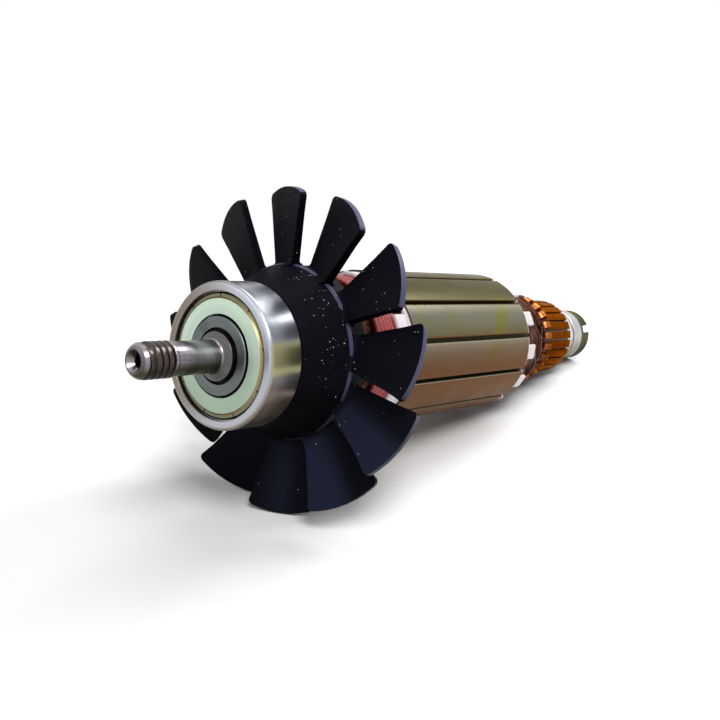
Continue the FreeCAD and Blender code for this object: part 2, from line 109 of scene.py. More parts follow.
class NodeSheet:
    """Places nodes in one material or node group, and links them."""

    def __init__(self, tree: bpy.types.NodeTree) -> None:
        """Start on a node tree.

        Args:
            tree: The tree that receives the nodes.
        """
        self.tree = tree

    def put(self, socket: Socket, value: object) -> None:
        """Link a socket to another one, or set its value."""
        if isinstance(value, Socket):
            self.tree.links.new(value, socket)
        else:
            socket.default_value = value

    def add(self, kind: str, inputs: Mapping[str | int, object] | None = None, **settings: object) -> bpy.types.Node:
        """Place one node.

        Args:
            kind: Node type without the "ShaderNode" in front.
            inputs: Value or source socket for each input, by name or place.
            settings: The node's own options.

        Returns:
            The node.
        """
        node = self.tree.nodes.new("ShaderNode" + kind)
        for key, value in settings.items():
            setattr(node, key, value)
        for key, value in (inputs or {}).items():
            self.put(node.inputs[key], value)
        return node

    def use(self, tree: bpy.types.NodeTree, **inputs: object) -> Mapping[str, Socket]:
        """Outputs of a node group with its inputs set."""
        return self.add("Group", inputs, node_tree=tree).outputs

    def math(self, operation: str, first: object, second: object = 0.0) -> Socket:
        """Result of one Math node."""
        return self.add("Math", {0: first, 1: second}, operation=operation).outputs[0]

    def times(self, first: object, second: object) -> Socket:
        """Product of two values."""
        return self.math("MULTIPLY", first, second)

    def plus(self, first: object, second: object) -> Socket:
        """Sum of two values."""
        return self.math("ADD", first, second)

    def rest(self, share: object) -> Socket:
        """What a share leaves of 1."""
        return self.math("SUBTRACT", 1.0, share)

    def most(self, first: object, second: object) -> Socket:
        """The larger of two values."""
        return self.math("MAXIMUM", first, second)

    def ramp(self, value: object, low: float, high: float, start: float = 0.0, end: float = 1.0,
             soft: bool = False) -> Socket:
        """Value carried from the range low..high to start..end, held at both ends."""
        kind = "SMOOTHSTEP" if soft else "LINEAR"
        return self.add("MapRange", {0: value, 1: low, 2: high, 3: start, 4: end}, interpolation_type=kind).outputs[0]

    def noise(self, vector: object, scale: object, detail: float = 3.0, rough: float = 0.5,
              distortion: float = 0.0) -> Socket:
        """Grey noise at a vector."""
        return self.add("TexNoise", {
            "Vector": vector, "Scale": scale, "Detail": detail, "Roughness": rough, "Distortion": distortion,
        }).outputs[0]

    def blend(self, share: object, first: object, second: object) -> Socket:
        """Colour between two colours."""
        return self.add("Mix", {0: share, 6: first, 7: second}, data_type="RGBA").outputs[2]

    def join(self, x: object, y: object, z: object = 0.0) -> Socket:
        """Vector from its values."""
        return self.add("CombineXYZ", {0: x, 1: y, 2: z}).outputs[0]

    def bump(self, height: object, strength: float, depth: float) -> Socket:
        """Normal bent by a height; depth is in metres."""
        return self.add("Bump", {"Height": height, "Strength": strength, "Distance": depth}).outputs[0]

    def here(self) -> Socket:
        """The point's own place, in metres."""
        return self.add("TexCoord").outputs["Object"]

    def facing(self) -> tuple[Socket, Socket]:
        """How far the surface faces along the floor, towards the rear, and how far up; both from -1 to 1."""
        along, _, up = self.add("SeparateXYZ", {0: self.add("NewGeometry").outputs["Normal"]}).outputs
        return along, up


class GroupSheet(NodeSheet):
    """Node group in the making; its inputs and outputs are plain numbers."""

    def __init__(self, name: str, inputs: Mapping[str, float], outputs: Sequence[str]) -> None:
        """Start an empty group.

        Args:
            name: Name of the group.
            inputs: First value of each input.
            outputs: Name of each output.
        """
        super().__init__(bpy.data.node_groups.new(name, "ShaderNodeTree"))
        sockets = self.tree.interface
        for label, value in inputs.items():
            sockets.new_socket(name=label, in_out="INPUT", socket_type="NodeSocketFloat").default_value = value
        for label in outputs:
            sockets.new_socket(name=label, in_out="OUTPUT", socket_type="NodeSocketFloat")
        self.given = self.tree.nodes.new("NodeGroupInput").outputs
        self.results = self.tree.nodes.new("NodeGroupOutput").inputs

    def give(self, **values: Socket) -> bpy.types.NodeTree:
        """Link the group's outputs.

        Returns:
            The group.
        """
        for label, value in values.items():
            self.put(self.results[label], value)
        return self.tree


class Effects:
    """Surface effects that several finishes share, each one node group."""

    def __init__(self, rotor: "RotorFrame") -> None:
        """Build every group once.

        Args:
            rotor: The frame in which the groups measure the surface.
        """
        self.place = self.make_place(rotor)
        self.turning = self.make_turning()
        self.smudges = self.make_smudges()
        self.edges = self.make_edges()
        self.specks = self.make_specks()

    @staticmethod
    def make_place(rotor: "RotorFrame") -> bpy.types.NodeTree:
        """Place on the rotor: along the shaft and out from it in millimetres, and the turn from 0 to 1."""
        sheet = GroupSheet("rotor_place", {}, ["Along", "Radius", "Turn"])
        location, rotation, scale = rotor.matrix.inverted().decompose()
        local = sheet.add("Mapping", {
            "Vector": sheet.here(), "Location": location, "Rotation": rotation.to_euler(), "Scale": scale,
        }).outputs[0]
        along, y, z = sheet.add("SeparateXYZ", {0: local}).outputs
        radius = sheet.math("SQRT", sheet.plus(sheet.times(y, y), sheet.times(z, z)))
        angle = sheet.math("ARCTAN2", sheet.times(y, -1.0), z)
        turn = sheet.math("FRACT", sheet.math("DIVIDE", angle, FULL_TURN))
        return sheet.give(Along=along, Radius=radius, Turn=turn)

    def make_turning(self) -> bpy.types.NodeTree:
        """Fine rings that a lathe or a grinding wheel leaves."""
        sheet = GroupSheet("turning_marks", {"Fineness": 6.0, "Drift": 0.3}, ["Height", "Tone"])
        place = sheet.use(self.place)
        swing = sheet.math("SINE", sheet.times(place["Turn"], FULL_TURN))
        drift = sheet.times(swing, sheet.given["Drift"])
        vector = sheet.join(sheet.plus(place["Along"], sheet.times(drift, 0.1)), place["Radius"], drift)
        spread = sheet.add("VectorMath", {0: vector, 3: sheet.given["Fineness"]}, operation="SCALE")
        fine = sheet.noise(spread.outputs[0], 1.0, 4.0, 0.7)
        broad = sheet.noise(vector, 0.6, 2.0, 0.5)
        return sheet.give(Height=fine, Tone=sheet.plus(sheet.times(fine, 0.4), sheet.times(broad, 0.6)))

    @staticmethod
    def make_smudges() -> bpy.types.NodeTree:
        """Soft uneven patches, as oil, dust and handling leave them; their size is in millimetres."""
        sheet = GroupSheet("smudges", {"Size": 6.0, "Amount": 0.5}, ["Mask"])
        scale = sheet.math("DIVIDE", 1.0 / MM, sheet.given["Size"])
        broad = sheet.noise(sheet.here(), scale, 5.0, 0.62, 0.4)
        low = sheet.math("SUBTRACT", 0.72, sheet.times(sheet.given["Amount"], 0.4))
        return sheet.give(Mask=sheet.ramp(broad, low, sheet.plus(low, 0.2), soft=True))

    @staticmethod
    def make_edges() -> bpy.types.NodeTree:
        """Edges that stand out and are rubbed bright; their width is in millimetres."""
        sheet = GroupSheet("edge_wear", {"Width": 0.3, "Broken": 0.5}, ["Mask"])
        round_off = sheet.add("Bevel", {0: sheet.times(sheet.given["Width"], MM)}, samples=6).outputs[0]
        true = sheet.add("NewGeometry").outputs["Normal"]
        match = sheet.add("VectorMath", {0: round_off, 1: true}, operation="DOT_PRODUCT").outputs["Value"]
        patchy = sheet.ramp(sheet.noise(sheet.here(), 420.0, 4.0, 0.6), 0.36, 0.62)
        kept = sheet.rest(sheet.times(sheet.given["Broken"], sheet.rest(patchy)))
        return sheet.give(Mask=sheet.times(sheet.ramp(match, 0.985, 0.86), kept))

    @staticmethod
    def make_specks() -> bpy.types.NodeTree:
        """Small scattered grains of dust; their spacing is in millimetres."""
        sheet = GroupSheet("dust_specks", {"Spacing": 0.8, "Share": 0.2}, ["Mask"])
        scale = sheet.math("DIVIDE", 1.0 / MM, sheet.given["Spacing"])
        cells = sheet.add("TexVoronoi", {"Vector": sheet.here(), "Scale": scale, "Randomness": 1.0}).outputs
        chance, size, _ = sheet.add("SeparateColor", {0: cells["Color"]}).outputs
        near = sheet.math("LESS_THAN", cells["Distance"], sheet.plus(sheet.times(size, 0.13), 0.04))
        chosen = sheet.math("LESS_THAN", chance, sheet.given["Share"])
        return sheet.give(Mask=sheet.times(near, chosen))


def rgba(colour: Colour) -> tuple[float, float, float, float]:
    """Colour with full alpha."""
    return (*colour, 1.0)


def scaled(colour: Colour, factor: float, lift: float = 0.0) -> tuple[float, float, float, float]:
    """Darker or lighter colour with full alpha."""
    return (*(min(1.0, c * factor + lift) for c in colour), 1.0)


class Finish:
    """A material in the making: its sheet and its main shader."""

    def __init__(self, name: str) -> None:
        """Start a material.

        Args:
            name: Name of the material.
        """
        self.material = bpy.data.materials.new(name)
        self.material.use_nodes = True
        self.sheet = NodeSheet(self.material.node_tree)
        self.shader = self.material.node_tree.nodes["Principled BSDF"]

    def shade(self, **inputs: object) -> bpy.types.Material:
        """Set the shader's inputs; an underscore stands for a space.

        Returns:
            The material.
        """
        for label, value in inputs.items():
            self.sheet.put(self.shader.inputs[label.replace("_", " ")], value)
        return self.material


@dataclass(frozen=True)
class Recipe(ABC):
    """How one material is made."""

    name: str
    colour: Colour

    @abstractmethod
    def inputs(self, sheet: NodeSheet, effects: Effects) -> dict[str, object]:
        """Inputs of the main shader, by name; an underscore stands for a space."""

    def build(self, effects: Effects) -> bpy.types.Material:
        """Make the material."""
        finish = Finish(self.name)
        return finish.shade(**self.inputs(finish.sheet, effects))


@dataclass(frozen=True)
class SteelFinish(Recipe):
    """Turned or ground steel with an oil film and rubbed edges.

    Oil film lies in smudges. The film's colour is also painted on as shade, on the low side (low) and about one clock
    angle.
    Faces that look to the front can be painted lighter or darker as highlight or shade (ahead), and a band at mid
    height carries a painted reflection in its own colour.
    """

    film: Colour
    roughness: float = 0.25
    film_amount: float = 0.5
    fineness: float = 6.0
    marks: float = 0.12
    edge_share: float = 0.6
    lay: float = 0.0
    # Painted shade in the film's colour: on faces that look down, and about one clock angle.
    low: float = 0.0
    sag: float = 0.0
    side_shade_clock: float = 0.5
    # Painted highlight or shade on front-facing faces, and a painted reflection band at mid height.
    ahead: float = 1.0
    painted_reflection_band: Colour | None = None
    rim_tint: float = 1.0
    film_size: float = 9.0
    edge_width: float = 0.25
    mark_depth: float = 0.00004

    def oil(self, sheet: NodeSheet, effects: Effects, film: Socket, up: Socket) -> Socket:
        """How much film colour lies on a point: oil smudges, and painted shade on the low side and about one clock
        angle.
        """
        # Painted shade: the film's colour on faces that look down, and about one clock angle.
        painted_low_shade = sheet.times(sheet.ramp(up, 0.4, -0.4, soft=True), self.low)
        turn = sheet.math("SUBTRACT", sheet.use(effects.place)["Turn"], self.side_shade_clock)
        nearness = sheet.math("COSINE", sheet.times(turn, FULL_TURN))
        painted_side_shade = sheet.times(sheet.ramp(nearness, -0.5, 0.9, soft=True), self.sag)
        return sheet.most(sheet.times(film, 0.6), sheet.most(painted_low_shade, painted_side_shade))

    def inputs(self, sheet: NodeSheet, effects: Effects) -> dict[str, object]:
        """Inputs of the main shader."""
        rings = sheet.use(effects.turning, Fineness=self.fineness)
        film = sheet.use(effects.smudges, Size=self.film_size, Amount=self.film_amount)["Mask"]
        edge = sheet.use(effects.edges, Width=self.edge_width, Broken=0.4)["Mask"]
        along, up = sheet.facing()
        toned = sheet.blend(sheet.ramp(rings["Tone"], 0.35, 0.65), scaled(self.colour, 0.82), rgba(self.colour))
        # Painted highlight or shade: faces that look to the front made lighter or darker.
        if self.ahead != 1.0:
            forward = sheet.ramp(along, -0.45, -0.95, soft=True)
            toned = sheet.blend(forward, toned, scaled(self.colour, self.ahead))
        oiled_and_shaded = sheet.blend(self.oil(sheet, effects, film, up), toned, rgba(self.film))
        # Painted reflection: a band in its own colour at mid height on the round sides.
        if self.painted_reflection_band is not None:
            level = sheet.times(sheet.ramp(up, 0.42, 0.35), sheet.ramp(up, -0.05, 0.0))
            round_side = sheet.ramp(sheet.math("ABSOLUTE", along), 0.7, 0.4)
            oiled_and_shaded = sheet.blend(sheet.times(level, round_side), oiled_and_shaded, rgba(self.painted_reflection_band))
        colour = sheet.blend(sheet.times(edge, self.edge_share), oiled_and_shaded, scaled(self.colour, 1.5, 0.06))
        ground = sheet.ramp(rings["Tone"], 0.3, 0.7, self.roughness - 0.06, self.roughness + 0.08)
        return dict(
            Base_Color=colour, Metallic=1.0, Roughness=sheet.plus(ground, sheet.times(film, 0.14)),
            Anisotropic=self.lay, Specular_Tint=rgba((self.rim_tint,) * 3),
            Normal=sheet.bump(rings["Height"], self.marks, self.mark_depth))


@dataclass(frozen=True)
class PlasticFinish(Recipe):
    """Moulded plastic with a satin skin and dust.

    The dust lies thickest on one stretch of the hub. Faces that look down are painted darker as shade, and the
    front halves of the blades low on one side carry a painted bluish sheen.
    """

    roughness: float = 0.5
    dust: float = 0.2
    dust_colour: Colour = (0.4, 0.42, 0.44)
    # Colour of the painted bluish sheen on the lower blades.
    painted_sheen: Colour = (0.011, 0.013, 0.028)
    specular: float = 0.03
    hub_radius: float = 19.3
    dusty_stretch: tuple[float, float] = (12.0, 18.6)
    dusty_turn: tuple[float, float] = (0.04, 0.27)
    painted_sheen_end: tuple[float, float] = (20.9, 18.9)
    painted_sheen_root: tuple[float, float] = (19.3, 20.5)
    grain_scale: float = 2600.0

    def dust_share(self, sheet: NodeSheet, place: Place, up: Socket, height: Socket) -> Socket:
        """Share of a point's cells that hold a grain of dust."""
        on_hub = sheet.math("LESS_THAN", place["Radius"], self.hub_radius)
        first, last = self.dusty_stretch
        along = sheet.times(sheet.ramp(place["Along"], first, first + 3.5),
                            sheet.ramp(place["Along"], last + 1.0, last))
        start, end = self.dusty_turn
        turned_up = sheet.times(sheet.ramp(place["Turn"], start - 0.03, start + 0.03),
                                sheet.ramp(place["Turn"], end + 0.03, end - 0.03))
        settled = sheet.times(sheet.times(along, turned_up), on_hub)
        lying = sheet.times(sheet.ramp(up, -0.35, 0.5, 0.15, 1.0), self.dust)
        off_hub = sheet.times(sheet.rest(sheet.times(on_hub, 0.7)), sheet.ramp(height, -0.45, 0.2, 0.12, 1.0))
        return sheet.plus(sheet.times(lying, off_hub), sheet.times(settled, 2.4))

    def inputs(self, sheet: NodeSheet, effects: Effects) -> dict[str, object]:
        """Inputs of the main shader."""
        place = sheet.use(effects.place)
        _, up = sheet.facing()
        angle = sheet.times(place["Turn"], FULL_TURN)
        height, side = (sheet.math(function, angle) for function in ("COSINE", "SINE"))
        share = self.dust_share(sheet, place, up, height)
        specks = sheet.use(effects.specks, Spacing=0.75, Share=share)["Mask"]
        film = sheet.use(effects.smudges, Size=14.0, Amount=0.55)["Mask"]
        dusty = sheet.blend(sheet.times(film, 0.3), rgba(self.colour), scaled(self.colour, 1.8, 0.002))
        unlit = sheet.ramp(up, 0.15, -0.35, 0.0, 0.85, soft=True)
        shaded = sheet.blend(unlit, dusty, scaled(self.colour, 0.1))
        # Painted sheen: the front halves of the blades low on one side turn bluish.
        lower_side = sheet.times(sheet.ramp(height, -0.1, -0.35), sheet.ramp(side, 0.0, 0.3))
        front_half = sheet.times(sheet.ramp(place["Along"], *self.painted_sheen_end, soft=True),
                                 sheet.ramp(place["Radius"], *self.painted_sheen_root))
        painted_sheen = sheet.blend(sheet.times(lower_side, front_half), shaded, rgba(self.painted_sheen))
        grain = sheet.noise(sheet.here(), self.grain_scale, 3.0, 0.6)
        return dict(
            Base_Color=sheet.blend(specks, painted_sheen, rgba(self.dust_colour)),
            Roughness=sheet.plus(sheet.times(film, 0.12), self.roughness),
            Specular_IOR_Level=self.specular, Normal=sheet.bump(grain, 0.15, 0.00005))


@dataclass(frozen=True)
class VarnishFinish(Recipe):
    """Stacked steel sheets coated with impregnating varnish, with painted shade on the top, in the slots and towards
    each next slot, a painted highlight on each tooth's edge, and a painted brown reflection on the low side.
    """

    # Colour of the painted brown reflection on the low side.
    painted_low_reflection: Colour
    # Colour of varnish runs and of the painted reflection band.
    amber: Colour
    # Colour of the painted highlight along each tooth's edge.
    edge: Colour
    # Colour of each tooth's painted shade, and the base of the slots' painted shade.
    pooled: Colour
    shaded: Colour
    run: tuple[float, float] = (93.0, 97.0)
    run_skew: float = 75.0
    slot_shade: tuple[float, float] = (18.08, 17.8)
    sheen: Colour = (0.8, 0.65, 0.45)

    @staticmethod
    def drawn_out(sheet: NodeSheet, place: Place, along: float, turns: float, detail: float = 3.0,
                  rough: float = 0.5) -> Socket:
        """Noise stretched over the core, by its scale along the shaft and round it."""
        vector = sheet.join(sheet.times(place["Along"], along), sheet.times(place["Turn"], turns))
        return sheet.noise(vector, 1.0, detail, rough)

    def runs(self, sheet: NodeSheet, place: Place) -> Socket:
        """Broad patches where varnish has run, and one skewed band across the core that is a painted reflection."""
        # Painted reflection: the skewed yellow-green band across the core.
        skewed = sheet.plus(place["Along"], sheet.times(place["Turn"], self.run_skew))
        first, last = self.run
        band = sheet.times(sheet.ramp(skewed, first - 2.5, first, soft=True),
                           sheet.ramp(skewed, last + 1.5, last, soft=True))
        patches = sheet.ramp(self.drawn_out(sheet, place, 0.11, 5.0), 0.55, 0.7, soft=True)
        return sheet.most(sheet.times(patches, 0.6), sheet.times(band, 0.85))

    def inputs(self, sheet: NodeSheet, effects: Effects) -> dict[str, object]:
        """Inputs of the main shader."""
        place = sheet.use(effects.place)
        _, up = sheet.facing()
        from_slot = sheet.math("SUBTRACT", sheet.times(place["Turn"], CORE_SLOTS), SLOT_CLOCK / SLOT_PITCH)
        tooth = sheet.math("FRACT", sheet.plus(from_slot, CORE_SLOTS))
        # Painted shade: each tooth darker towards the next slot.
        base = sheet.blend(sheet.ramp(tooth, 0.45, 0.97, soft=True), rgba(self.colour), rgba(self.pooled))
        streaks = sheet.ramp(self.drawn_out(sheet, place, 0.03, 30.0), 0.3, 0.7)
        faint = sheet.blend(0.35, base, sheet.blend(streaks, scaled(self.colour, 0.8), scaled(self.colour, 1.2)))
        varnished = sheet.blend(sheet.times(self.runs(sheet, place), 0.9), faint, rgba(self.amber))
        # Painted highlight: a light line along each tooth's edge just past a slot.
        painted_edge_highlight = sheet.times(sheet.ramp(tooth, 0.42, 0.03, 0.0, 0.75, soft=True), sheet.ramp(tooth, 0.0, 0.03))
        lit = sheet.blend(sheet.times(painted_edge_highlight, 0.6), varnished, rgba(self.edge))
        top = sheet.blend(sheet.ramp(up, 0.66, 0.84, soft=True), lit, rgba(self.shaded))
        # Painted reflection: brown on faces that look down.
        outside = sheet.blend(sheet.ramp(up, 0.48, -0.12), top, rgba(self.painted_low_reflection))
        # Painted shade: dark inside the slots.
        colour = sheet.blend(sheet.ramp(place["Radius"], *self.slot_shade), outside, scaled(self.pooled, 0.3))
        rough = sheet.ramp(sheet.noise(sheet.here(), 120.0, 3.0, 0.6), 0.35, 0.65, 0.27, 0.38)
        waves = self.drawn_out(sheet, place, 0.12, 20.0, 2.0, 0.4)
        return dict(
            Base_Color=colour, Metallic=0.35, Roughness=rough, Coat_Weight=0.04, Coat_Roughness=0.15,
            Specular_IOR_Level=0.1, Specular_Tint=rgba(self.sheen), Normal=sheet.bump(waves, 0.12, 0.0004))


@dataclass(frozen=True)
class WireFinish(Recipe):
    """Enamelled copper wire, darker where varnish has run over it."""

    dark: Colour
    metallic: float = 0.35
    sheen: Colour = (1.0, 0.6, 0.5)

    def inputs(self, sheet: NodeSheet, effects: Effects) -> dict[str, object]:
        """Inputs of the main shader."""
        pooled = sheet.use(effects.smudges, Size=5.0, Amount=0.62)["Mask"]
        flicker = sheet.ramp(sheet.noise(sheet.here(), 900.0, 2.0), 0.35, 0.65)
        warm = sheet.blend(flicker, scaled(self.colour, 0.72), rgba(self.colour))
        return dict(
            Base_Color=sheet.blend(pooled, warm, rgba(self.dark)), Metallic=self.metallic,
            Roughness=sheet.ramp(flicker, 0.0, 1.0, 0.3, 0.42), Coat_Weight=0.06, Specular_IOR_Level=0.15,
            Specular_Tint=rgba(self.sheen), Normal=sheet.bump(flicker, 0.1, 0.00005))


@dataclass(frozen=True)
class CopperFinish(Recipe):
    """Commutator copper, tarnished and marked by the brushes, with painted shade on its low side."""

    tarnish: Colour
    tarnish_amount: float = 0.5
    sheen: Colour = (1.0, 0.5, 0.25)

    def inputs(self, sheet: NodeSheet, effects: Effects) -> dict[str, object]:
        """Inputs of the main shader."""
        rings = sheet.use(effects.turning, Fineness=5.0, Drift=0.1)
        patches = sheet.use(effects.smudges, Size=4.0, Amount=self.tarnish_amount)["Mask"]
        edge = sheet.use(effects.edges, Width=0.3, Broken=0.5)["Mask"]
        _, up = sheet.facing()
        worn = sheet.blend(sheet.ramp(rings["Tone"], 0.38, 0.62), scaled(self.colour, 0.6), rgba(self.colour))
        dull = sheet.blend(sheet.times(patches, 0.85), worn, rgba(self.tarnish))
        bright = sheet.blend(sheet.times(edge, 0.4), dull, scaled(self.colour, 1.4, 0.02))
        # Painted shade: darker tarnish colour on faces that look down.
        painted_low_shade = sheet.times(sheet.ramp(up, 0.5, -0.1, soft=True), 0.9)
        return dict(
            Base_Color=sheet.blend(painted_low_shade, bright, scaled(self.tarnish, 0.5)), Metallic=1.0,
            Roughness=sheet.plus(sheet.times(patches, 0.15), 0.3), Specular_Tint=rgba(self.sheen),
            Normal=sheet.bump(rings["Height"], 0.08, 0.00005))


@dataclass(frozen=True)
class CordFinish(Recipe):
    """Laced cord soaked in varnish."""

    shadow: Colour
    strands: float = 90.0
    strand_lay: float = 1.1

    def inputs(self, sheet: NodeSheet, effects: Effects) -> dict[str, object]:
        """Inputs of the main shader."""
        place = sheet.use(effects.place)
        twist = sheet.plus(sheet.times(place["Turn"], self.strands), sheet.times(place["Along"], self.strand_lay))
        lay = sheet.math("ABSOLUTE", sheet.math("SINE", sheet.times(twist, math.pi)))
        pooled = sheet.use(effects.smudges, Size=5.0, Amount=0.5)["Mask"]
        strand = sheet.blend(sheet.ramp(lay, 0.0, 0.5), rgba(self.shadow), rgba(self.colour))
        return dict(
            Base_Color=sheet.blend(sheet.times(pooled, 0.5), strand, rgba(self.shadow)),
            Roughness=sheet.ramp(lay, 0.0, 1.0, 0.6, 0.42), Coat_Weight=0.25, Coat_Roughness=0.2,
            Normal=sheet.bump(lay, 0.45, 0.00012))


@dataclass(frozen=True)
class SheetFinish(Recipe):
    """Pressed insulating sheet or moulded resin, matt, with fibres and stains."""

    stain: Colour
    stain_amount: float = 0.45
    roughness: float = 0.6
    coat: float = 0.0
    specular: float = 0.5

    def inputs(self, sheet: NodeSheet, effects: Effects) -> dict[str, object]:
        """Inputs of the main shader."""
        stains = sheet.use(effects.smudges, Size=5.0, Amount=self.stain_amount)["Mask"]
        fibre = sheet.noise(sheet.here(), 1500.0, 4.0, 0.65)
        toned = sheet.blend(sheet.ramp(fibre, 0.3, 0.7), scaled(self.colour, 0.86), rgba(self.colour))
        return dict(
            Base_Color=sheet.blend(sheet.times(stains, 0.8), toned, rgba(self.stain)),
            Roughness=sheet.ramp(fibre, 0.3, 0.7, self.roughness - 0.08, self.roughness + 0.08),
            Coat_Weight=self.coat, Specular_IOR_Level=self.specular, Normal=sheet.bump(fibre, 0.2, 0.00005))


# Finishes by the name of what they are on. A steel has its own colour first, then that of its film, which is also the
# colour of its painted shade.
STEELS = {
    # Shaft: painted shade on its low side and on its front-facing nose.
    "shaft": SteelFinish(
        "shaft_ground_steel", (0.34, 0.31, 0.34), (0.05, 0.038, 0.02), 0.22, 0.35, lay=0.4, low=0.95, ahead=0.3),
    "shoulder": SteelFinish(
        "shaft_shoulder_steel", (0.13, 0.125, 0.12), (0.05, 0.045, 0.04), 0.3, 0.4, edge_share=0.3),
    # Thread: painted shade on its low side.
    "thread": SteelFinish(
        "thread_oiled_steel", (0.085, 0.07, 0.064), (0.016, 0.012, 0.007), 0.22, 0.5, edge_share=0.3, low=0.9),
    # Near-black painted shade for the centre hole and the shaft's hidden middle.
    "centre": SteelFinish(
        "centre_hole_painted_shade", (0.02, 0.018, 0.016), (0.01, 0.009, 0.008), 0.4, 0.5, edge_share=0.0),
    # Outer ring: painted shade on its low side and towards one side, a painted highlight on its front faces, and a
    # painted reflection band at mid height.
    "race": SteelFinish(
        "bearing_ring_steel", (0.38, 0.4, 0.45), (0.19, 0.14, 0.09), 0.32, 0.3, 12.0, 0.3, lay=0.5, low=0.85,
        sag=0.85, side_shade_clock=0.75, ahead=1.3, painted_reflection_band=(0.36, 0.35, 0.19)),
    "bore_ring": SteelFinish(
        "bearing_inner_ring_steel", (0.15, 0.17, 0.17), (0.07, 0.075, 0.07), 0.34, 0.5, edge_share=0.4),
    # Near-black grease, which also serves as painted shade in the bearings' gaps.
    "grease_and_gap_shade": SteelFinish(
        "bearing_grease_and_gap_shade", (0.012, 0.013, 0.013), (0.006, 0.006, 0.006), 0.5, 0.4, edge_share=0.0),
    "ball": SteelFinish("bearing_ball_steel", (0.5, 0.5, 0.52), (0.4, 0.4, 0.4), 0.1, 0.2, 3.0, 0.0),
    "cage": SteelFinish("bearing_cage_steel", (0.12, 0.115, 0.1), (0.04, 0.035, 0.025), 0.35, 0.5),
    # Shield: painted darker towards the bottom as shade.
    "shield": SteelFinish(
        "bearing_shield_zinc", (0.58, 0.71, 0.59), (0.34, 0.44, 0.34), 0.5, 0.2, 5.0, 0.1, edge_share=0.1, sag=0.95),
    "slope": SteelFinish(
        "bearing_shield_gold_slope", (0.33, 0.27, 0.13), (0.12, 0.1, 0.05), 0.35, 0.5, edge_share=0.2),
    "rim": SteelFinish(
        "bearing_shield_rim_stained", (0.2, 0.19, 0.13), (0.08, 0.075, 0.045), 0.4, 0.5, edge_share=0.3),
    # Collar and rear ring: painted shade on their low sides.
    "collar": SteelFinish(
        "rear_collar_bright", (0.66, 0.635, 0.65), (0.24, 0.22, 0.19), 0.25, 0.25, low=0.95),
    "rear_race": SteelFinish(
        "rear_bearing_ring_steel", (0.6, 0.58, 0.585), (0.2, 0.18, 0.14), 0.28, 0.35, 12.0, low=0.9, rim_tint=0.8),
    # The end collar's film is lime-green, partly oil film and partly a painted reflection.
    "end_collar": SteelFinish(
        "end_collar_steel", (0.135, 0.125, 0.105), (0.2, 0.21, 0.012), 0.3, 0.66, edge_share=0.2, rim_tint=0.3),
}
# Plastics, papers, varnish, wires and copper: the main colour first, then that of stains and shadows.
OTHERS = {
    "fan": PlasticFinish("fan_black_plastic", (0.0028, 0.0031, 0.0058), 0.5),
    # Lilac edges of the fan: partly rubbed wear, partly painted highlight.
    "fan_edge": PlasticFinish("fan_worn_and_highlit_edges", (0.055, 0.056, 0.115), 0.45, 0.0, specular=0.15),
    "tube": SheetFinish("shaft_tube_plastic", (0.05, 0.035, 0.02), (0.02, 0.015, 0.01), 0.4, 0.5),
    # Core: painted brown reflection on the low side, painted shade on the top and towards each slot, and a painted
    # edge highlight.
    "core": VarnishFinish(
        "core_varnished_sheets", colour=(0.14, 0.138, 0.102), painted_low_reflection=(0.108, 0.038, 0.009),
        amber=(0.14, 0.145, 0.012), edge=(0.42, 0.4, 0.31), pooled=(0.1, 0.092, 0.028), shaded=(0.03, 0.028, 0.004)),
    "insulator": SheetFinish("end_insulator_white", (0.72, 0.65, 0.68), (0.38, 0.28, 0.24), 0.3, 0.55),
    "paper": SheetFinish("slot_paper", (0.12, 0.1, 0.05), (0.06, 0.04, 0.02)),
    "wedge": SheetFinish(
        "slot_wedge_fibre", (0.055, 0.044, 0.008), (0.03, 0.02, 0.004), 0.5, 0.55, specular=0.08),
    "wire": WireFinish("winding_enamelled_wire", (0.12, 0.045, 0.024), (0.018, 0.008, 0.007)),
    "lead": WireFinish("lead_enamelled_wire", (0.1, 0.028, 0.04), (0.025, 0.008, 0.015)),
    "cord": CordFinish("banding_red_cord", (0.36, 0.028, 0.032), (0.1, 0.005, 0.007)),
    "bar": CopperFinish("commutator_bar_copper", (0.185, 0.068, 0.024), (0.06, 0.036, 0.009), 0.66),
    "hook": CopperFinish("commutator_hook_copper", (0.5, 0.16, 0.05), (0.13, 0.04, 0.016), 0.35),
    "resin": SheetFinish("commutator_resin", (0.018, 0.009, 0.007), (0.008, 0.005, 0.004), 0.4, 0.4, 0.2),
    "bush": CopperFinish("commutator_bush_brass", (0.5, 0.38, 0.17), (0.2, 0.14, 0.06), 0.3),
}


class RotorFrame:
    """The rotor's own frame, read from the spin axis of the front bearing."""

    bearing_middle = 4.5

    def __init__(self, joints: Sequence[dict]) -> None:
        """Find the frame.

        Args:
            joints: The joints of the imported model.
        """
        joint = next(j for j in joints if j["name"] == "front_bearing_spin")
        axis = Vector(joint["axis"]).normalized()
        origin = Vector(joint["pos_m"]) - axis * self.bearing_middle * MM
        tilt = math.atan2(-axis.z, axis.x)
        self.matrix = Matrix.Translation(origin) @ Matrix.Rotation(tilt, 4, "Y") @ Matrix.Scale(MM, 4)


def clear_selection() -> None:
    """Object mode with nothing selected."""
    if bpy.context.mode != "OBJECT":
        bpy.ops.object.mode_set(mode="OBJECT")
    bpy.ops.object.select_all(action="DESELECT")


def pick(*pieces: Piece) -> None:
    """Select these objects alone; the first is active."""
    clear_selection()
    for piece in pieces:
        piece.select_set(True)
    bpy.context.view_layer.objects.active = pieces[0]


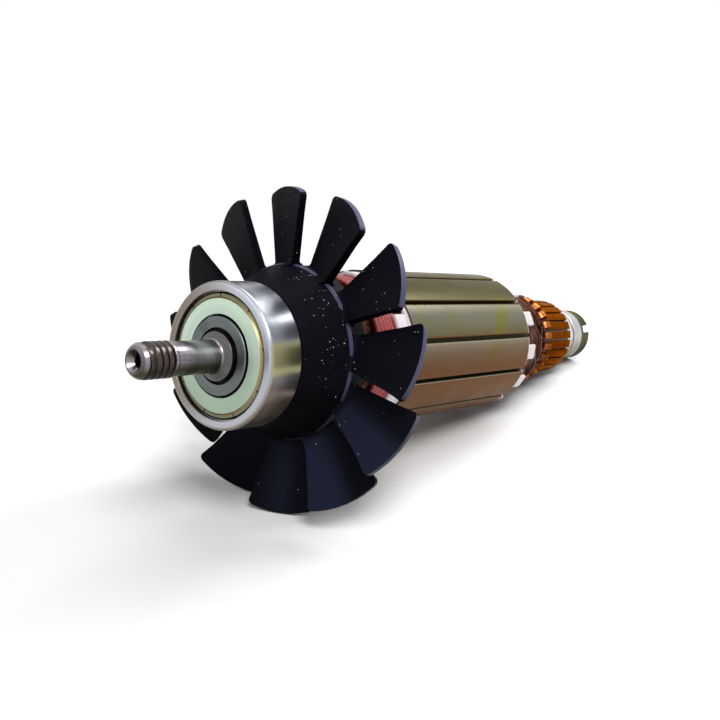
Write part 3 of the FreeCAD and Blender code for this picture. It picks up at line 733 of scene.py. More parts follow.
@contextmanager
def editing(piece: Piece, kind: str = "VERT") -> Iterator[None]:
    """Edit mode on one piece with its whole mesh selected.

    Args:
        piece: The piece to edit.
        kind: VERT, EDGE or FACE selection.
    """
    pick(piece)
    bpy.ops.object.mode_set(mode="EDIT")
    bpy.ops.mesh.select_mode(type=kind)
    bpy.ops.mesh.select_all(action="SELECT")
    yield
    bpy.ops.object.mode_set(mode="OBJECT")


def choose(test: Callable[[bmesh.types.BMEdge], bool]) -> None:
    """In edit mode, select only the edges that pass a test."""
    bpy.ops.mesh.select_all(action="DESELECT")
    mesh = bmesh.from_edit_mesh(bpy.context.edit_object.data)
    for edge in mesh.edges:
        edge.select = edge.select or test(edge)
    mesh.select_flush_mode()
    bmesh.update_edit_mesh(bpy.context.edit_object.data)


def outward_normals() -> None:
    """In edit mode, turn every face outward."""
    bpy.ops.mesh.select_all(action="SELECT")
    bpy.ops.mesh.normals_make_consistent(inside=False)


def trace(name: str, points: Sequence[Vector], closed: bool = False) -> Piece:
    """Outline drawn vertex by vertex.

    Args:
        name: Name of the new piece.
        points: Corners in order.
        closed: Whether the last corner joins the first.

    Returns:
        The piece, a wire outline.
    """
    clear_selection()
    bpy.ops.mesh.primitive_plane_add(size=1)
    piece = bpy.context.object
    piece.name = piece.data.name = name
    run = list(points) + ([points[0]] if closed else [])
    with editing(piece):
        bpy.ops.mesh.merge(type="CENTER")
        bpy.ops.transform.translate(value=run[0])
        for here, there in zip(run, run[1:]):
            bpy.ops.mesh.extrude_region_move(TRANSFORM_OT_translate={"value": there - here})
        bpy.ops.mesh.select_all(action="SELECT")
        bpy.ops.mesh.remove_doubles(threshold=WELD_DISTANCE)
    return piece


@dataclass(frozen=True)
class Station:
    """Corner of a turned profile: place along the shaft, radius, and rounding of the corner."""

    x: float
    r: float
    round: float = 0.0


def rounded(corners: Sequence[Corner], closed: bool, steps: int = 6) -> list[Vector]:
    """Profile points in the XZ plane, with an arc at each rounded corner.

    Args:
        corners: Place along the shaft, radius and, where the corner is rounded, its rounding.
        closed: Whether the profile closes, or starts and ends on the axis.
        steps: Facets in an arc.

    Returns:
        The points in order.
    """
    stations = [Station(*corner) for corner in corners]
    points: list[Vector] = []
    count = len(stations)
    for i, station in enumerate(stations):
        here = Vector((station.x, 0, station.r))
        if not station.round or (not closed and i in (0, count - 1)):
            points.append(here)
            continue
        before, after = stations[i - 1], stations[(i + 1) % count]
        back = (Vector((before.x, 0, before.r)) - here).normalized()
        ahead = (Vector((after.x, 0, after.r)) - here).normalized()
        half = back.angle(ahead) / 2
        run = station.round / math.tan(half)
        centre = here + (back + ahead).normalized() * (station.round / math.sin(half))
        first, last = here + back * run - centre, here + ahead * run - centre
        for k in range(steps + 1):
            points.append(centre + first.slerp(last, k / steps).normalized() * station.round)
    return points


def turned(name: str, corners: Sequence[Corner], closed: bool = True, steps: int = ROUND_STEPS) -> Piece:
    """Piece turned about the shaft from its profile.

    Args:
        name: Name of the new piece.
        corners: Corners of the profile.
        closed: Whether the profile closes, or starts and ends on the axis.
        steps: Facets round the shaft.

    Returns:
        The piece.
    """
    piece = trace(name, rounded(corners, closed), closed)
    with editing(piece):
        bpy.ops.mesh.spin(steps=steps, angle=FULL_TURN, center=(0, 0, 0), axis=(1, 0, 0))
        bpy.ops.mesh.select_all(action="SELECT")
        bpy.ops.mesh.remove_doubles(threshold=WELD_DISTANCE)
        outward_normals()
    return piece


def apply_all(piece: Piece) -> None:
    """Apply every modifier of a piece in order."""
    pick(piece)
    for modifier in list(piece.modifiers):
        bpy.ops.object.modifier_apply(modifier=modifier.name)


def eased(piece: Piece, width: float, segments: int, angle: float = 50.0) -> Piece:
    """Round a piece's sharp edges.

    Args:
        piece: The piece.
        width: Width of the rounding.
        segments: Facets across it.
        angle: Edges sharper than this are rounded, in degrees.

    Returns:
        The piece.
    """
    bevel = piece.modifiers.new("eased", "BEVEL")
    bevel.width = width
    bevel.segments = segments
    bevel.limit_method = "ANGLE"
    bevel.angle_limit = math.radians(angle)
    apply_all(piece)
    return piece


def thickened(piece: Piece, thickness: float, group: str = "") -> Piece:
    """Sheet given its thickness on both sides.

    Args:
        piece: The sheet.
        thickness: Its full thickness.
        group: Vertex group that thins it, if any.

    Returns:
        The piece.
    """
    wall = piece.modifiers.new("thickness", "SOLIDIFY")
    wall.thickness = thickness
    wall.offset = 0.0
    wall.vertex_group = group
    wall.use_even_offset = bool(group)
    apply_all(piece)
    return piece


def screwed(piece: Piece, pitch: float, turns: int, steps: int) -> Piece:
    """Outline swept about the shaft in a helix, with so many steps a turn."""
    screw = piece.modifiers.new("helix", "SCREW")
    screw.axis = "X"
    screw.angle = FULL_TURN
    screw.screw_offset = pitch
    screw.iterations = turns
    screw.steps = screw.render_steps = steps
    screw.use_smooth_shade = False
    apply_all(piece)
    return piece


def extruded(outline: Piece, reach: float) -> Piece:
    """Solid from a flat closed outline, drawn out along the shaft."""
    with editing(outline, "EDGE"):
        bpy.ops.mesh.edge_face_add()
        bpy.ops.mesh.extrude_region_move(TRANSFORM_OT_translate={"value": (reach, 0, 0)})
        outward_normals()
    return outline


def block(size: Sequence[float], middle: Sequence[float]) -> Piece:
    """Plain block."""
    clear_selection()
    bpy.ops.mesh.primitive_cube_add(size=1)
    piece = bpy.context.object
    piece.scale, piece.location = size, middle
    bpy.ops.object.transform_apply(location=True, rotation=False, scale=True)
    return piece


def subtract(piece: Piece, cutter: Piece) -> None:
    """Cut one piece with another, which is used up."""
    cut = piece.modifiers.new("cut", "BOOLEAN")
    cut.operation = "DIFFERENCE"
    cut.object = cutter
    apply_all(piece)
    bpy.data.objects.remove(cutter)


def joined(name: str, pieces: Sequence[Piece]) -> Piece:
    """One piece from several."""
    pick(*pieces)
    if len(pieces) > 1:
        bpy.ops.object.join()
    piece = bpy.context.object
    piece.name = piece.data.name = name
    return piece


def around(piece: Piece, count: int, first: float = 0.0) -> list[Piece]:
    """A piece and its copies, evenly spaced about the shaft."""
    pieces = [piece]
    for i in range(1, count):
        copy = piece.copy()
        copy.data = piece.data.copy()
        bpy.context.scene.collection.objects.link(copy)
        copy.rotation_euler.x = math.radians(first + i * 360.0 / count)
        pieces.append(copy)
    piece.rotation_euler.x = math.radians(first)
    pick(*pieces)
    bpy.ops.object.transform_apply(location=False, rotation=True, scale=False)
    return pieces


def at(x: float, radius: float, clock: float) -> Vector:
    """Point at a place along the shaft, a radius and a clock angle."""
    turn = math.radians(clock)
    return Vector((x, -radius * math.sin(turn), radius * math.cos(turn)))


def radius_of(point: Vector) -> float:
    """How far a point lies from the shaft's axis."""
    return math.hypot(point.y, point.z)


def wire(name: str, runs: Sequence[Sequence[Vector]], radius: float) -> Piece:
    """Round wires along smooth runs, as one mesh.

    Args:
        name: Name of the new piece.
        runs: Control points of each wire.
        radius: Wire radius.

    Returns:
        The piece.
    """
    clear_selection()
    bpy.ops.curve.primitive_nurbs_path_add()
    piece = bpy.context.object
    piece.name = piece.data.name = name
    curve = piece.data
    curve.splines.clear()
    for run in runs:
        spline = curve.splines.new("NURBS")
        spline.points.add(len(run) - 1)
        for point, place in zip(spline.points, run):
            point.co = (*place, 1.0)
        spline.order_u = 4
        spline.use_endpoint_u = True
        spline.resolution_u = 3
    curve.bevel_depth = radius
    curve.bevel_resolution = 1
    curve.use_fill_caps = True
    bpy.ops.object.convert(target="MESH")
    piece = bpy.context.object
    piece.name = piece.data.name = name
    return piece


@dataclass
class Bench:
    """Finishes pieces: lays them in place, dresses them and ties them to their bodies."""

    rotor: RotorFrame
    finishes: dict[str, bpy.types.Material]
    nodes: dict[str, Piece]

    def hand_over(self, piece: Piece, finish: str, replaces: Sequence[str],
                  body: Body = Body.ROTOR, smooth: float = 35.0) -> None:
        """Finish one modelled piece.

        Args:
            piece: The piece, in the rotor's frame.
            finish: Which finish it gets.
            replaces: CAD nodes that it stands for.
            body: The body that it moves with.
            smooth: Edges sharper than this stay sharp, in degrees.
        """
        pick(piece)
        bpy.ops.object.shade_smooth_by_angle(angle=math.radians(smooth))
        piece.matrix_world = self.rotor.matrix @ piece.matrix_world
        bpy.ops.object.transform_apply(location=True, rotation=True, scale=True)
        if not piece.data.materials:
            piece.data.materials.append(self.finishes[finish])
        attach(piece, body.value)
        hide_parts(*replaces)
        log.info("%s: %d faces, %s, on %s", piece.name, len(piece.data.polygons), finish, body.value)

    def paint(self, piece: Piece, finishes: Sequence[str],
              which: Callable[[bpy.types.MeshPolygon], int] = lambda face: 0) -> Piece:
        """Give a piece several finishes, and each face the one whose number a function tells."""
        for finish in finishes:
            piece.data.materials.append(self.finishes[finish])
        for face in piece.data.polygons:
            face.material_index = which(face)
        return piece

    def dress(self, finish: str, name: str) -> None:
        """Give a CAD node that stays in view its finish."""
        node = self.nodes[name]
        node.data.materials.clear()
        node.data.materials.append(self.finishes[finish])
        log.info("%s: kept, finish %s", name, finish)


@dataclass
class Shaft:
    """Stepped shaft with a threaded, centre-drilled nose."""

    nose_length: float = 20.5
    nose_radius: float = 3.35
    thread_radius: float = 3.6
    root_radius: float = 3.12
    tip_radius: float = 3.45
    hole_radius: float = 2.15
    pilot_radius: float = 1.35
    thread_pitch: float = 1.4
    thread_turns: int = 4
    steps: int = 72
    run_out: int = 30
    ridge_start: float = -19.43
    grooves_end: float = -13.2
    thread_end: float = -12.3
    shoulder_start: float = -1.6
    front_seat: float = 5.0
    body: float = 6.0
    commutator_seat: float = 5.5
    rear_seat: float = 4.0
    front_bearing_end: float = 9.0
    head_end: float = REAR_HEAD_END
    commutator_end: float = COLLAR_START
    end: float = 153.2

    def turned_body(self) -> Piece:
        """The whole shaft, bare of its thread."""
        tip, pilot, seat = -self.nose_length, self.pilot_radius, self.rear_seat
        cone = (self.hole_radius - pilot) * math.sqrt(3)
        return turned("shaft_body", [
            (tip + 4.6, 0), (tip + 4.2, pilot), (tip + cone, pilot),
            (tip, self.hole_radius, 0.12), (tip, self.hole_radius + 0.25, 0.2),
            (tip + 0.4, self.tip_radius - 0.45, 0.6), (self.ridge_start + 0.05, self.tip_radius, 0.45),
            (self.ridge_start + 0.25, self.tip_radius + 0.02, 0.1),
            (self.ridge_start + 0.4, self.root_radius), (self.grooves_end - 0.25, self.root_radius),
            (self.grooves_end, self.thread_radius, 0.12),
            (self.thread_end - 0.3, self.thread_radius, 0.25),
            (self.thread_end, self.nose_radius, 0.2), (self.shoulder_start, self.nose_radius, 0.65),
            (-0.6, self.front_seat, 0.15), (self.front_bearing_end, self.front_seat),
            (self.front_bearing_end, self.body), (self.head_end, self.body),
            (self.head_end, self.commutator_seat), (self.commutator_end, self.commutator_seat),
            (self.commutator_end, seat), (self.end - 0.3, seat),
            (self.end, seat - 0.3), (self.end, 0),
        ], closed=False)

    def crest(self, x: float) -> float:
        """Radius of the thread's crest, which tapers towards the tip."""
        taper = self.tip_radius + 0.05 + (x - self.ridge_start) * 0.1
        return min(self.thread_radius, taper)

    def thread(self) -> Piece:
        """The thread's ridge, with its two ends run out."""
        start, pitch, flat, top = self.ridge_start, self.thread_pitch, 0.3, self.thread_radius
        low = self.root_radius - 0.08
        middle = start + pitch / 2
        ridge = [Vector((x, 0, radius)) for x, radius in (
            (start + 0.08, low), (middle - flat - 0.1, top - 0.08), (middle - flat, top),
            (middle + flat, top), (middle + flat + 0.1, top - 0.08), (start + pitch - 0.08, low))]
        piece = screwed(trace("shaft_thread", ridge), pitch, self.thread_turns, self.steps)
        vertices = piece.data.vertices
        rings = len(vertices) // len(ridge)
        for i in range(rings):
            share = min(1.0, i / self.run_out, (rings - 1 - i) / self.run_out)
            for vertex in vertices[i * len(ridge):(i + 1) * len(ridge)]:
                radial = Vector((0, vertex.co.y, vertex.co.z))
                height = min(radial.length, self.crest(vertex.co.x)) - low
                vertex.co += radial.normalized() * (low + height * share - radial.length)
        with editing(piece):
            outward_normals()
        return piece

    def finish_at(self, face: bpy.types.MeshPolygon) -> int:
        """Number of a face's finish: 0 shaft, 1 thread, 2 near-black painted shade in the centre hole and on the
        hidden middle, 3 shoulder.
        """
        x, radius = face.center.x, radius_of(face.center)
        if self.front_bearing_end < x < self.head_end:
            return 2
        if x > self.shoulder_start and radius > self.nose_radius + 0.3:
            return 3
        if x < -self.nose_length / 2 and radius < self.pilot_radius + 0.05:
            return 2
        return int(self.ridge_start < x < self.grooves_end)

    def build(self, bench: Bench) -> None:
        """Model and finish the shaft."""
        body = bench.paint(self.turned_body(), ("shaft", "thread", "centre", "shoulder"), self.finish_at)
        thread = bench.paint(self.thread(), ("thread",))
        piece = joined("shaft_with_thread", [body, thread])
        bench.hand_over(piece, "shaft", ["shaft"], smooth=28.0)


@dataclass
class BallBearing:
    """Shielded ball bearing; its rings, its shields and where they sit.

    The shields sit inset from the ring's faces and are stepped; crimps counts the slits in their rims.
    """

    name: str
    body: Body
    start: float
    width: float
    bore: float
    outer: float
    inner_land: float
    shield_seat: float
    corner: float
    inset: float
    relief: float
    crimps: int = 0
    finish: str = "race"
    crimp_clock: float = -9.0
    crimp_width: float = 0.3
    sheet: float = 0.3
    gap: float = 0.35

    def outer_ring(self) -> Piece:
        """Outer ring with eased corners and a groove for each shield."""
        first, last = self.start, self.start + self.width
        depth = self.inset + 3 * self.sheet
        land = self.shield_seat - 0.7
        lip = self.corner * 0.25
        return turned(self.name + "_race", [
            (first, self.outer, self.corner), (last, self.outer, self.corner),
            (last, self.shield_seat + lip), (last - lip, self.shield_seat),
            (last - depth, self.shield_seat),
            (last - depth, land), (first + depth, land), (first + depth, self.shield_seat),
            (first + lip, self.shield_seat), (first, self.shield_seat + lip),
        ])

    def inner_ring(self) -> Piece:
        """Inner ring with a relieved bore and eased lands."""
        first, last = self.start, self.start + self.width
        step = self.bore + self.relief
        deep = self.relief * 1.2
        ease = self.corner * 0.35
        return turned(self.name + "_bore_ring", [
            (first + deep, self.bore), (last - deep, self.bore), (last - deep, step),
            (last, step, ease / 2), (last, self.inner_land, ease),
            (first, self.inner_land, ease), (first, step, ease / 2), (first + deep, step),
        ])

    def across_shield(self, *shares: float) -> list[float]:
        """Radii that lie so far from a shield's bore to its rim."""
        inner, outer = self.inner_land + self.gap, self.shield_seat - self.gap / 2
        return [inner + (outer - inner) * share for share in shares]

    def shield(self, side: int) -> Piece:
        """Pressed shield with a curled bore, a step and a crimped rim; side is 1 at the front, -1 at the rear."""
        face = self.start if side > 0 else self.start + self.width
        inner, step, flange, rim, outer = self.across_shield(0.0, 0.7, 0.79, 0.93, 1.0)
        inset, sheet = self.inset, self.sheet
        deep = inset + 2 * sheet
        bend = sheet * 0.6
        low = deep - bend
        outline = [
            (inset + sheet * 0.9, inner, 0), (inset, inner + sheet * 0.2, bend), (inset, step, bend),
            (low, flange, bend), (low, rim, bend), (deep, rim + sheet * 0.8, bend * 0.5), (deep, outer, 0),
            (deep + sheet, outer, 0), (deep + sheet * 0.9, rim, 0), (deep + sheet * 0.3, flange, 0),
            (inset + sheet, step, 0), (inset + sheet, inner + sheet * 0.4, 0),
        ]
        piece = turned(f"{self.name}_{'front' if side > 0 else 'rear'}_shield_pressing",
                       [(face + side * x, r, e) for x, r, e in outline])
        if self.crimps:
            slit = block((sheet * 6, self.crimp_width, outer - flange), (face + side * deep, 0, (flange + outer) / 2))
            subtract(piece, joined("slit_cutter", around(slit, self.crimps, self.crimp_clock)))
        return piece

    def build(self, bench: Bench) -> None:
        """Model and finish the bearing; the inner ring's bore and rim, and the shields' outer rims, carry near-black
        grease that is also painted shade in the gaps.
        """
        bench.hand_over(self.outer_ring(), self.finish, [self.name + "_outer_ring"], self.body)
        bore, rim = self.bore + self.relief + 0.02, self.inner_land - 0.02
        ring = bench.paint(self.inner_ring(), ("bore_ring", "grease_and_gap_shade"),
                           lambda face: int(not bore <= radius_of(face.center) <= rim))
        bench.hand_over(ring, "bore_ring", [self.name + "_inner_ring"])
        limits = self.across_shield(0.72, 0.8, 0.91)
        for side, label in ((1, "front"), (-1, "rear")):
            shield = bench.paint(self.shield(side), ("shield", "slope", "rim", "grease_and_gap_shade"),
                                 lambda face: sum(radius_of(face.center) > limit for limit in limits))
            bench.hand_over(shield, "shield", [f"{self.name}_{label}_shield"], self.body)
        bench.dress("ball", self.name + "_balls")
        bench.dress("cage", self.name + "_cage")


@dataclass
class Fan:
    """One-piece axial fan: flared hub and pitched blades with eased edges and filleted roots."""

    blades: int = 12
    clock: float = 302.6
    start: float = 9.6
    hub_front_radius: float = 14.4
    rim_radius: float = 19.0
    rim_x: float = 19.6
    end_x: float = 24.6
    wall: float = 2.0
    rim_band: float = 0.7
    tip_band: float = 33.0
    boss_radius: float = 9.2
    shaft_radius: float = 6.0
    root_front: tuple[float, float] = (19.5, -3.4)
    root_rear: tuple[float, float] = (22.0, -24.5)
    tip_front: Spot = (16.9, 34.3, 0.0)
    tip_rear: Spot = (23.4, 34.6, -24.2)
    root_thickness: float = 2.0
    tip_thickness: float = 1.4
    tip_middle_radius: float = 35.2
    corner: float = 0.9
    root_fillet: float = 0.8
    sunk: float = 1.4
    edge_ease: float = 0.3
    tip_bow_start: float = 0.7

    def hub(self) -> Piece:
        """Hub shell and boss."""
        inside = self.rim_radius - self.wall
        web = self.start + self.wall
        band = self.rim_band
        slope = (self.rim_radius - self.hub_front_radius) / (self.rim_x - self.start)
        return turned("fan_hub", [
            (self.start, self.shaft_radius), (self.start, self.hub_front_radius, 0.9),
            (self.rim_x - band, self.rim_radius - band * slope), (self.rim_x, self.rim_radius, band),
            (self.end_x, self.rim_radius - 0.3, 0.3),
            (self.end_x, inside, 0.3), (self.rim_x, inside, self.wall),
            (web, self.boss_radius + self.wall, 1.0), (web, self.boss_radius, 0.5),
            (self.end_x, self.boss_radius, 0.3), (self.end_x, self.shaft_radius),
        ])

    def blade_grid(self, height: float) -> tuple[Piece, list[float], list[float]]:
        """Flat grid for one blade, with its lines' places across the chord and shares of the height."""
        chord = (at(*self.tip_rear) - at(*self.tip_front)).length
        near = [0.0, 0.1, 0.3, 0.6, 0.95, 2.2, 3.9, 5.6]
        across = near + [chord / 2] + [chord - d for d in reversed(near)]
        up = [-self.sunk / height, 0.0, 0.012, 0.025, 0.045, 0.08, 0.25, 0.4, 0.55, 0.7, 0.82, 0.92, 1.0]
        clear_selection()
        bpy.ops.mesh.primitive_grid_add(x_subdivisions=len(across) - 1, y_subdivisions=len(up) - 1, size=1)
        piece = bpy.context.object
        piece.name = piece.data.name = "fan_blade"
        return piece, across, up

    def thickness_at(self, above: float, rise: float) -> float:
        """Thickness of a blade at a height above the hub, with the fillet at its root."""
        thick = self.root_thickness + (self.tip_thickness - self.root_thickness) * max(0.0, rise)
        if above < self.root_fillet:
            thick += 2 * (self.root_fillet - math.sqrt(self.root_fillet ** 2 - (self.root_fillet - above) ** 2))
        return thick

    def blade(self) -> Piece:
        """One blade, from a grid laid over its outline and given its thickness."""
        root_f, root_r = (at(x, self.rim_radius, clock) for x, clock in (self.root_front, self.root_rear))
        tip_f, tip_r = at(*self.tip_front), at(*self.tip_rear)
        out = at(0, 1, (self.tip_front[2] + self.tip_rear[2]) / 2)
        tip_height = (tip_f.dot(out) + tip_r.dot(out)) / 2
        height = tip_height - (root_f.dot(out) + root_r.dot(out)) / 2
        bow = self.tip_middle_radius - tip_height
        piece, across, up = self.blade_grid(height)
        chord = across[-1]
        group = piece.vertex_groups.new(name="thickness")
        full = self.root_thickness + 2 * self.root_fillet
        for vertex in piece.data.vertices:
            i = round((vertex.co.x + 0.5) * (len(across) - 1))
            j = round((vertex.co.y + 0.5) * (len(up) - 1))
            share, rise = across[i] / chord, up[j]
            place = (root_f + (tip_f - root_f) * rise).lerp(root_r + (tip_r - root_r) * rise, share)
            if rise > self.tip_bow_start:
                beside = min(across[i], chord - across[i])
                crown = bow * (1 - (2 * share - 1) ** 2)
                drop = self.corner - math.sqrt(self.corner ** 2 - max(0.0, self.corner - beside) ** 2)
                place += out * ((crown - drop) * (rise - self.tip_bow_start) / (1 - self.tip_bow_start))
            thick = self.thickness_at(max(0.0, rise) * height, rise)
            vertex.co = place
            group.add([vertex.index], min(1.0, thick / full), "REPLACE")
        return eased(thickened(piece, full, group.name), self.edge_ease, 3)

    def worn_and_highlit_tip(self, face: bpy.types.MeshPolygon) -> int:
        """1 on the outward faces of a blade's tip, which get the lilac edge finish of wear and painted highlight,
        else 0.
        """
        outward = Vector((0, face.center.y, face.center.z))
        return int(outward.length > self.tip_band and face.normal.dot(outward.normalized()) > 0.7)

    def worn_and_highlit_rim(self, face: bpy.types.MeshPolygon) -> int:
        """1 on the rounded rim of the hub, which gets the lilac edge finish of wear and painted highlight, else 0."""
        at_rim = abs(face.center.x - self.rim_x) < self.rim_band
        return int(at_rim and radius_of(face.center) > self.rim_radius - 0.5)

    def build(self, bench: Bench) -> None:
        """Model and finish the fan."""
        finishes = ("fan", "fan_edge")
        hub = bench.paint(self.hub(), finishes, self.worn_and_highlit_rim)
        blade = bench.paint(self.blade(), finishes, self.worn_and_highlit_tip)
        piece = joined("fan_moulding", [hub] + around(blade, self.blades, self.clock))
        bench.hand_over(piece, "fan", ["fan"])


@dataclass
class Core:
    """Laminated core, its end insulators and what lies in its slots."""

    start: float = 43.0
    length: float = 52.2
    radius: float = 18.2
    bore: float = 7.0
    opening: float = 1.0
    lip: float = 1.2
    slot_depth: float = 7.6
    slot_top: float = 5.2
    slot_bottom: float = 2.6
    insulator: float = 1.1
    insulator_step: float = 0.5
    tab_length: float = 3.8
    tab_width: float = 4.0
    tab_thickness: float = 1.0
    tooth_steps: int = 12
    bore_steps: int = 48
    mouth_ease: float = 0.3

    def outline(self, radius: float) -> list[Vector]:
        """Outline of the toothed sheet at a radius, square to the shaft."""
        points = []
        half = self.opening / 2
        top = self.radius - self.lip
        bottom = top - self.slot_depth
        for k in range(CORE_SLOTS):
            clock = SLOT_CLOCK + k * SLOT_PITCH
            turn = Matrix.Rotation(math.radians(clock), 3, "X")
            mouth = math.degrees(math.asin(half / radius))
            side = [(half, top), (self.slot_top * 0.35, top), (self.slot_top / 2, top - self.slot_top / 4),
                    (self.slot_bottom / 2, bottom)]
            points += [turn @ Vector((0, y, z)) for y, z in side]
            points += [turn @ Vector((0, -y, z)) for y, z in reversed(side)]
            for step in range(self.tooth_steps + 1):
                share = step / self.tooth_steps
                points.append(at(0, radius, clock + mouth + share * (SLOT_PITCH - 2 * mouth)))
        return points

    def toothed(self, name: str, start: float, end: float, radius: float) -> Piece:
        """Toothed sheet or stack from start to end along the shaft."""
        rim = trace(name, [p + Vector((start, 0, 0)) for p in self.outline(radius)], closed=True)
        steps = self.bore_steps
        hole = trace(name + "_hole", [at(start, self.bore, k * 360 / steps) for k in range(steps)], closed=True)
        piece = joined(name, [rim, hole])
        with editing(piece, "EDGE"):
            bpy.ops.mesh.fill(use_beauty=True)
            bpy.ops.mesh.select_all(action="SELECT")
            bpy.ops.mesh.extrude_region_move(TRANSFORM_OT_translate={"value": (end - start, 0, 0)})
            outward_normals()
            choose(lambda e: self.at_mouth(e, radius))
            bpy.ops.mesh.bevel(offset=self.mouth_ease, segments=3)
        return piece

    def at_mouth(self, edge: bmesh.types.BMEdge, radius: float) -> bool:
        """Whether an edge runs along a slot mouth at the rim."""
        first, last = (v.co for v in edge.verts)
        if abs(first.x - last.x) < 0.5 or abs(radius_of(first) - radius) > 0.01:
            return False
        clock = math.degrees(math.atan2(-first.y, first.z)) - SLOT_CLOCK
        off = abs((clock + SLOT_PITCH / 2) % SLOT_PITCH - SLOT_PITCH / 2)
        return abs(off - math.degrees(math.asin(self.opening / 2 / radius))) < 0.2

    def end_insulator(self, name: str, face: float, way: int) -> Piece:
        """White toothed sheet with a rounded tab standing on each tooth."""
        radius = self.radius - self.insulator_step
        start = face if way > 0 else face - self.insulator
        sheet = self.toothed(name, start, start + self.insulator, radius)
        outer = face + way * self.insulator
        reach = math.degrees(self.tab_width / 2 / radius)
        clocks = [-reach + reach * k / 3 for k in range(7)]
        outline = [at(outer, radius, clock) for clock in clocks]
        outline += [at(outer, radius - self.tab_thickness, -clock) for clock in clocks]
        tab = eased(extruded(trace(name + "_tab", outline, closed=True), way * self.tab_length), 0.3, 3)
        return joined(name, [sheet] + around(tab, CORE_SLOTS, SLOT_CLOCK + SLOT_PITCH / 2))

    def build(self, bench: Bench) -> None:
        """Model and finish the core."""
        end = self.start + self.length
        stack = self.toothed("lamination_pack", self.start, end, self.radius)
        bench.hand_over(stack, "core", ["lamination_stack"], smooth=40.0)
        for label, face, way in (("front", self.start, -1), ("rear", end, 1)):
            sheet = self.end_insulator(label + "_insulator_with_tabs", face, way)
            bench.hand_over(sheet, "insulator", [label + "_end_insulator"])
        for finish, name in (("paper", "slot_liners"), ("wedge", "slot_wedges"), ("wire", "slot_coils"),
                             ("tube", "shaft_insulating_tube")):
            bench.dress(finish, name)


@dataclass
class WindingHead:
    """End turns of the coils on one side of the core.

    Way is 1 towards the rear and -1 towards the front; span counts the slots that a coil bridges.
    """

    name: str
    node: str
    face: float
    way: int
    length: float
    top_radius: float
    crown_radius: float
    inner_radius: float = 8.2
    filler_radius: float = 7.0
    span: float = 5.0
    rows: int = 2
    wires: int = 8
    wire_radius: float = 0.3
    stations: int = 13
    wander: float = 0.16
    nearby: float = 0.02
    filler_steps: int = 64
    seed: int = 3

    def section(self, share: float) -> Vector:
        """Middle of a coil, part of the way from slot to slot, as its place out from the core and its radius."""
        length, top, crown, low = self.length, self.top_radius, self.crown_radius, self.inner_radius
        points = [Vector(point) for point in (
            (-0.5, top - 0.5), (0.3 * length, top), (0.72 * length, (top + crown) / 2 + 0.4),
            (0.95 * length, crown - 0.6), (0.95 * length, (crown + low) / 2), (0.6 * length, low + 0.4),
            (-0.5, low))]
        place = share * (len(points) - 1)
        i = min(int(place), len(points) - 2)
        local = place - i
        before, first, last, after = (points[max(0, min(len(points) - 1, i + d))] for d in (-1, 0, 1, 2))
        bend = 2 * before - 5 * first + 4 * last - after
        twist = 3 * first - before - 3 * last + after
        return 0.5 * (2 * first + (last - before) * local + bend * local ** 2 + twist * local ** 3)

    def clock(self, share: float) -> float:
        """Clock angle of a coil's middle."""
        return SLOT_CLOCK + (share - 0.5) * self.span * SLOT_PITCH

    def point(self, share: float) -> Vector:
        """Place of a coil's middle."""
        flat = self.section(share)
        return at(self.face + self.way * flat.x, flat.y, self.clock(share))

    def axes(self, share: float) -> tuple[Vector, Vector]:
        """Directions beside a coil's run and out of it."""
        before, after = max(0, share - self.nearby), min(1, share + self.nearby)
        along = (self.point(after) - self.point(before)).normalized()
        slope = self.section(after) - self.section(before)
        turn = Matrix.Rotation(math.radians(self.clock(share)), 3, "X")
        outward = turn @ Vector((slope.y * self.way, 0, slope.x)).normalized()
        outward = (outward - along * outward.dot(along)).normalized()
        return along.cross(outward), outward

    def run(self, row: int, column: int, wander: Sequence[float]) -> list[Vector]:
        """One wire of a coil, by its row and column in the bundle."""
        pitch = self.wire_radius * 2.05
        middle = column - (self.wires - 1) / 2 + 0.5 * (row % 2)
        points = []
        for k in range(self.stations):
            share = k / (self.stations - 1)
            beside, outward = self.axes(share)
            squeeze = 0.72 + 0.28 * math.sin(math.pi * share)
            offset = middle * pitch * squeeze + wander[k]
            depth = row * pitch * 0.86 - wander[-1 - k] * 0.5
            points.append(self.point(share) + beside * offset - outward * depth)
        return points

    def coil(self) -> Piece:
        """One coil's end turn, a flat bundle of wires side by side in rows."""
        chance = Random(self.seed)
        runs = []
        for row in range(self.rows):
            for column in range(self.wires):
                wander = [chance.uniform(-self.wander, self.wander) for _ in range(self.stations)]
                runs.append(self.run(row, column, wander))
        return wire(self.name + "_coil", runs, self.wire_radius)

    def filler(self) -> Piece:
        """Inner turns that show between the outer bundles."""
        way, face, length = self.way, self.face, self.length
        return turned(self.name + "_filler", [
            (face, self.filler_radius), (face, self.top_radius - 1.8),
            (face + way * length * 0.62, (self.top_radius + self.crown_radius) / 2 - 1.6, 2.0),
            (face + way * length * 0.86, self.crown_radius - 2.2, 1.0),
            (face + way * length * 0.86, self.filler_radius),
        ], steps=self.filler_steps)

    def build(self, bench: Bench) -> None:
        """Model and finish the winding head."""
        piece = joined(self.name, [self.filler()] + around(self.coil(), CORE_SLOTS))
        bench.hand_over(piece, "wire", [self.node], smooth=60.0)


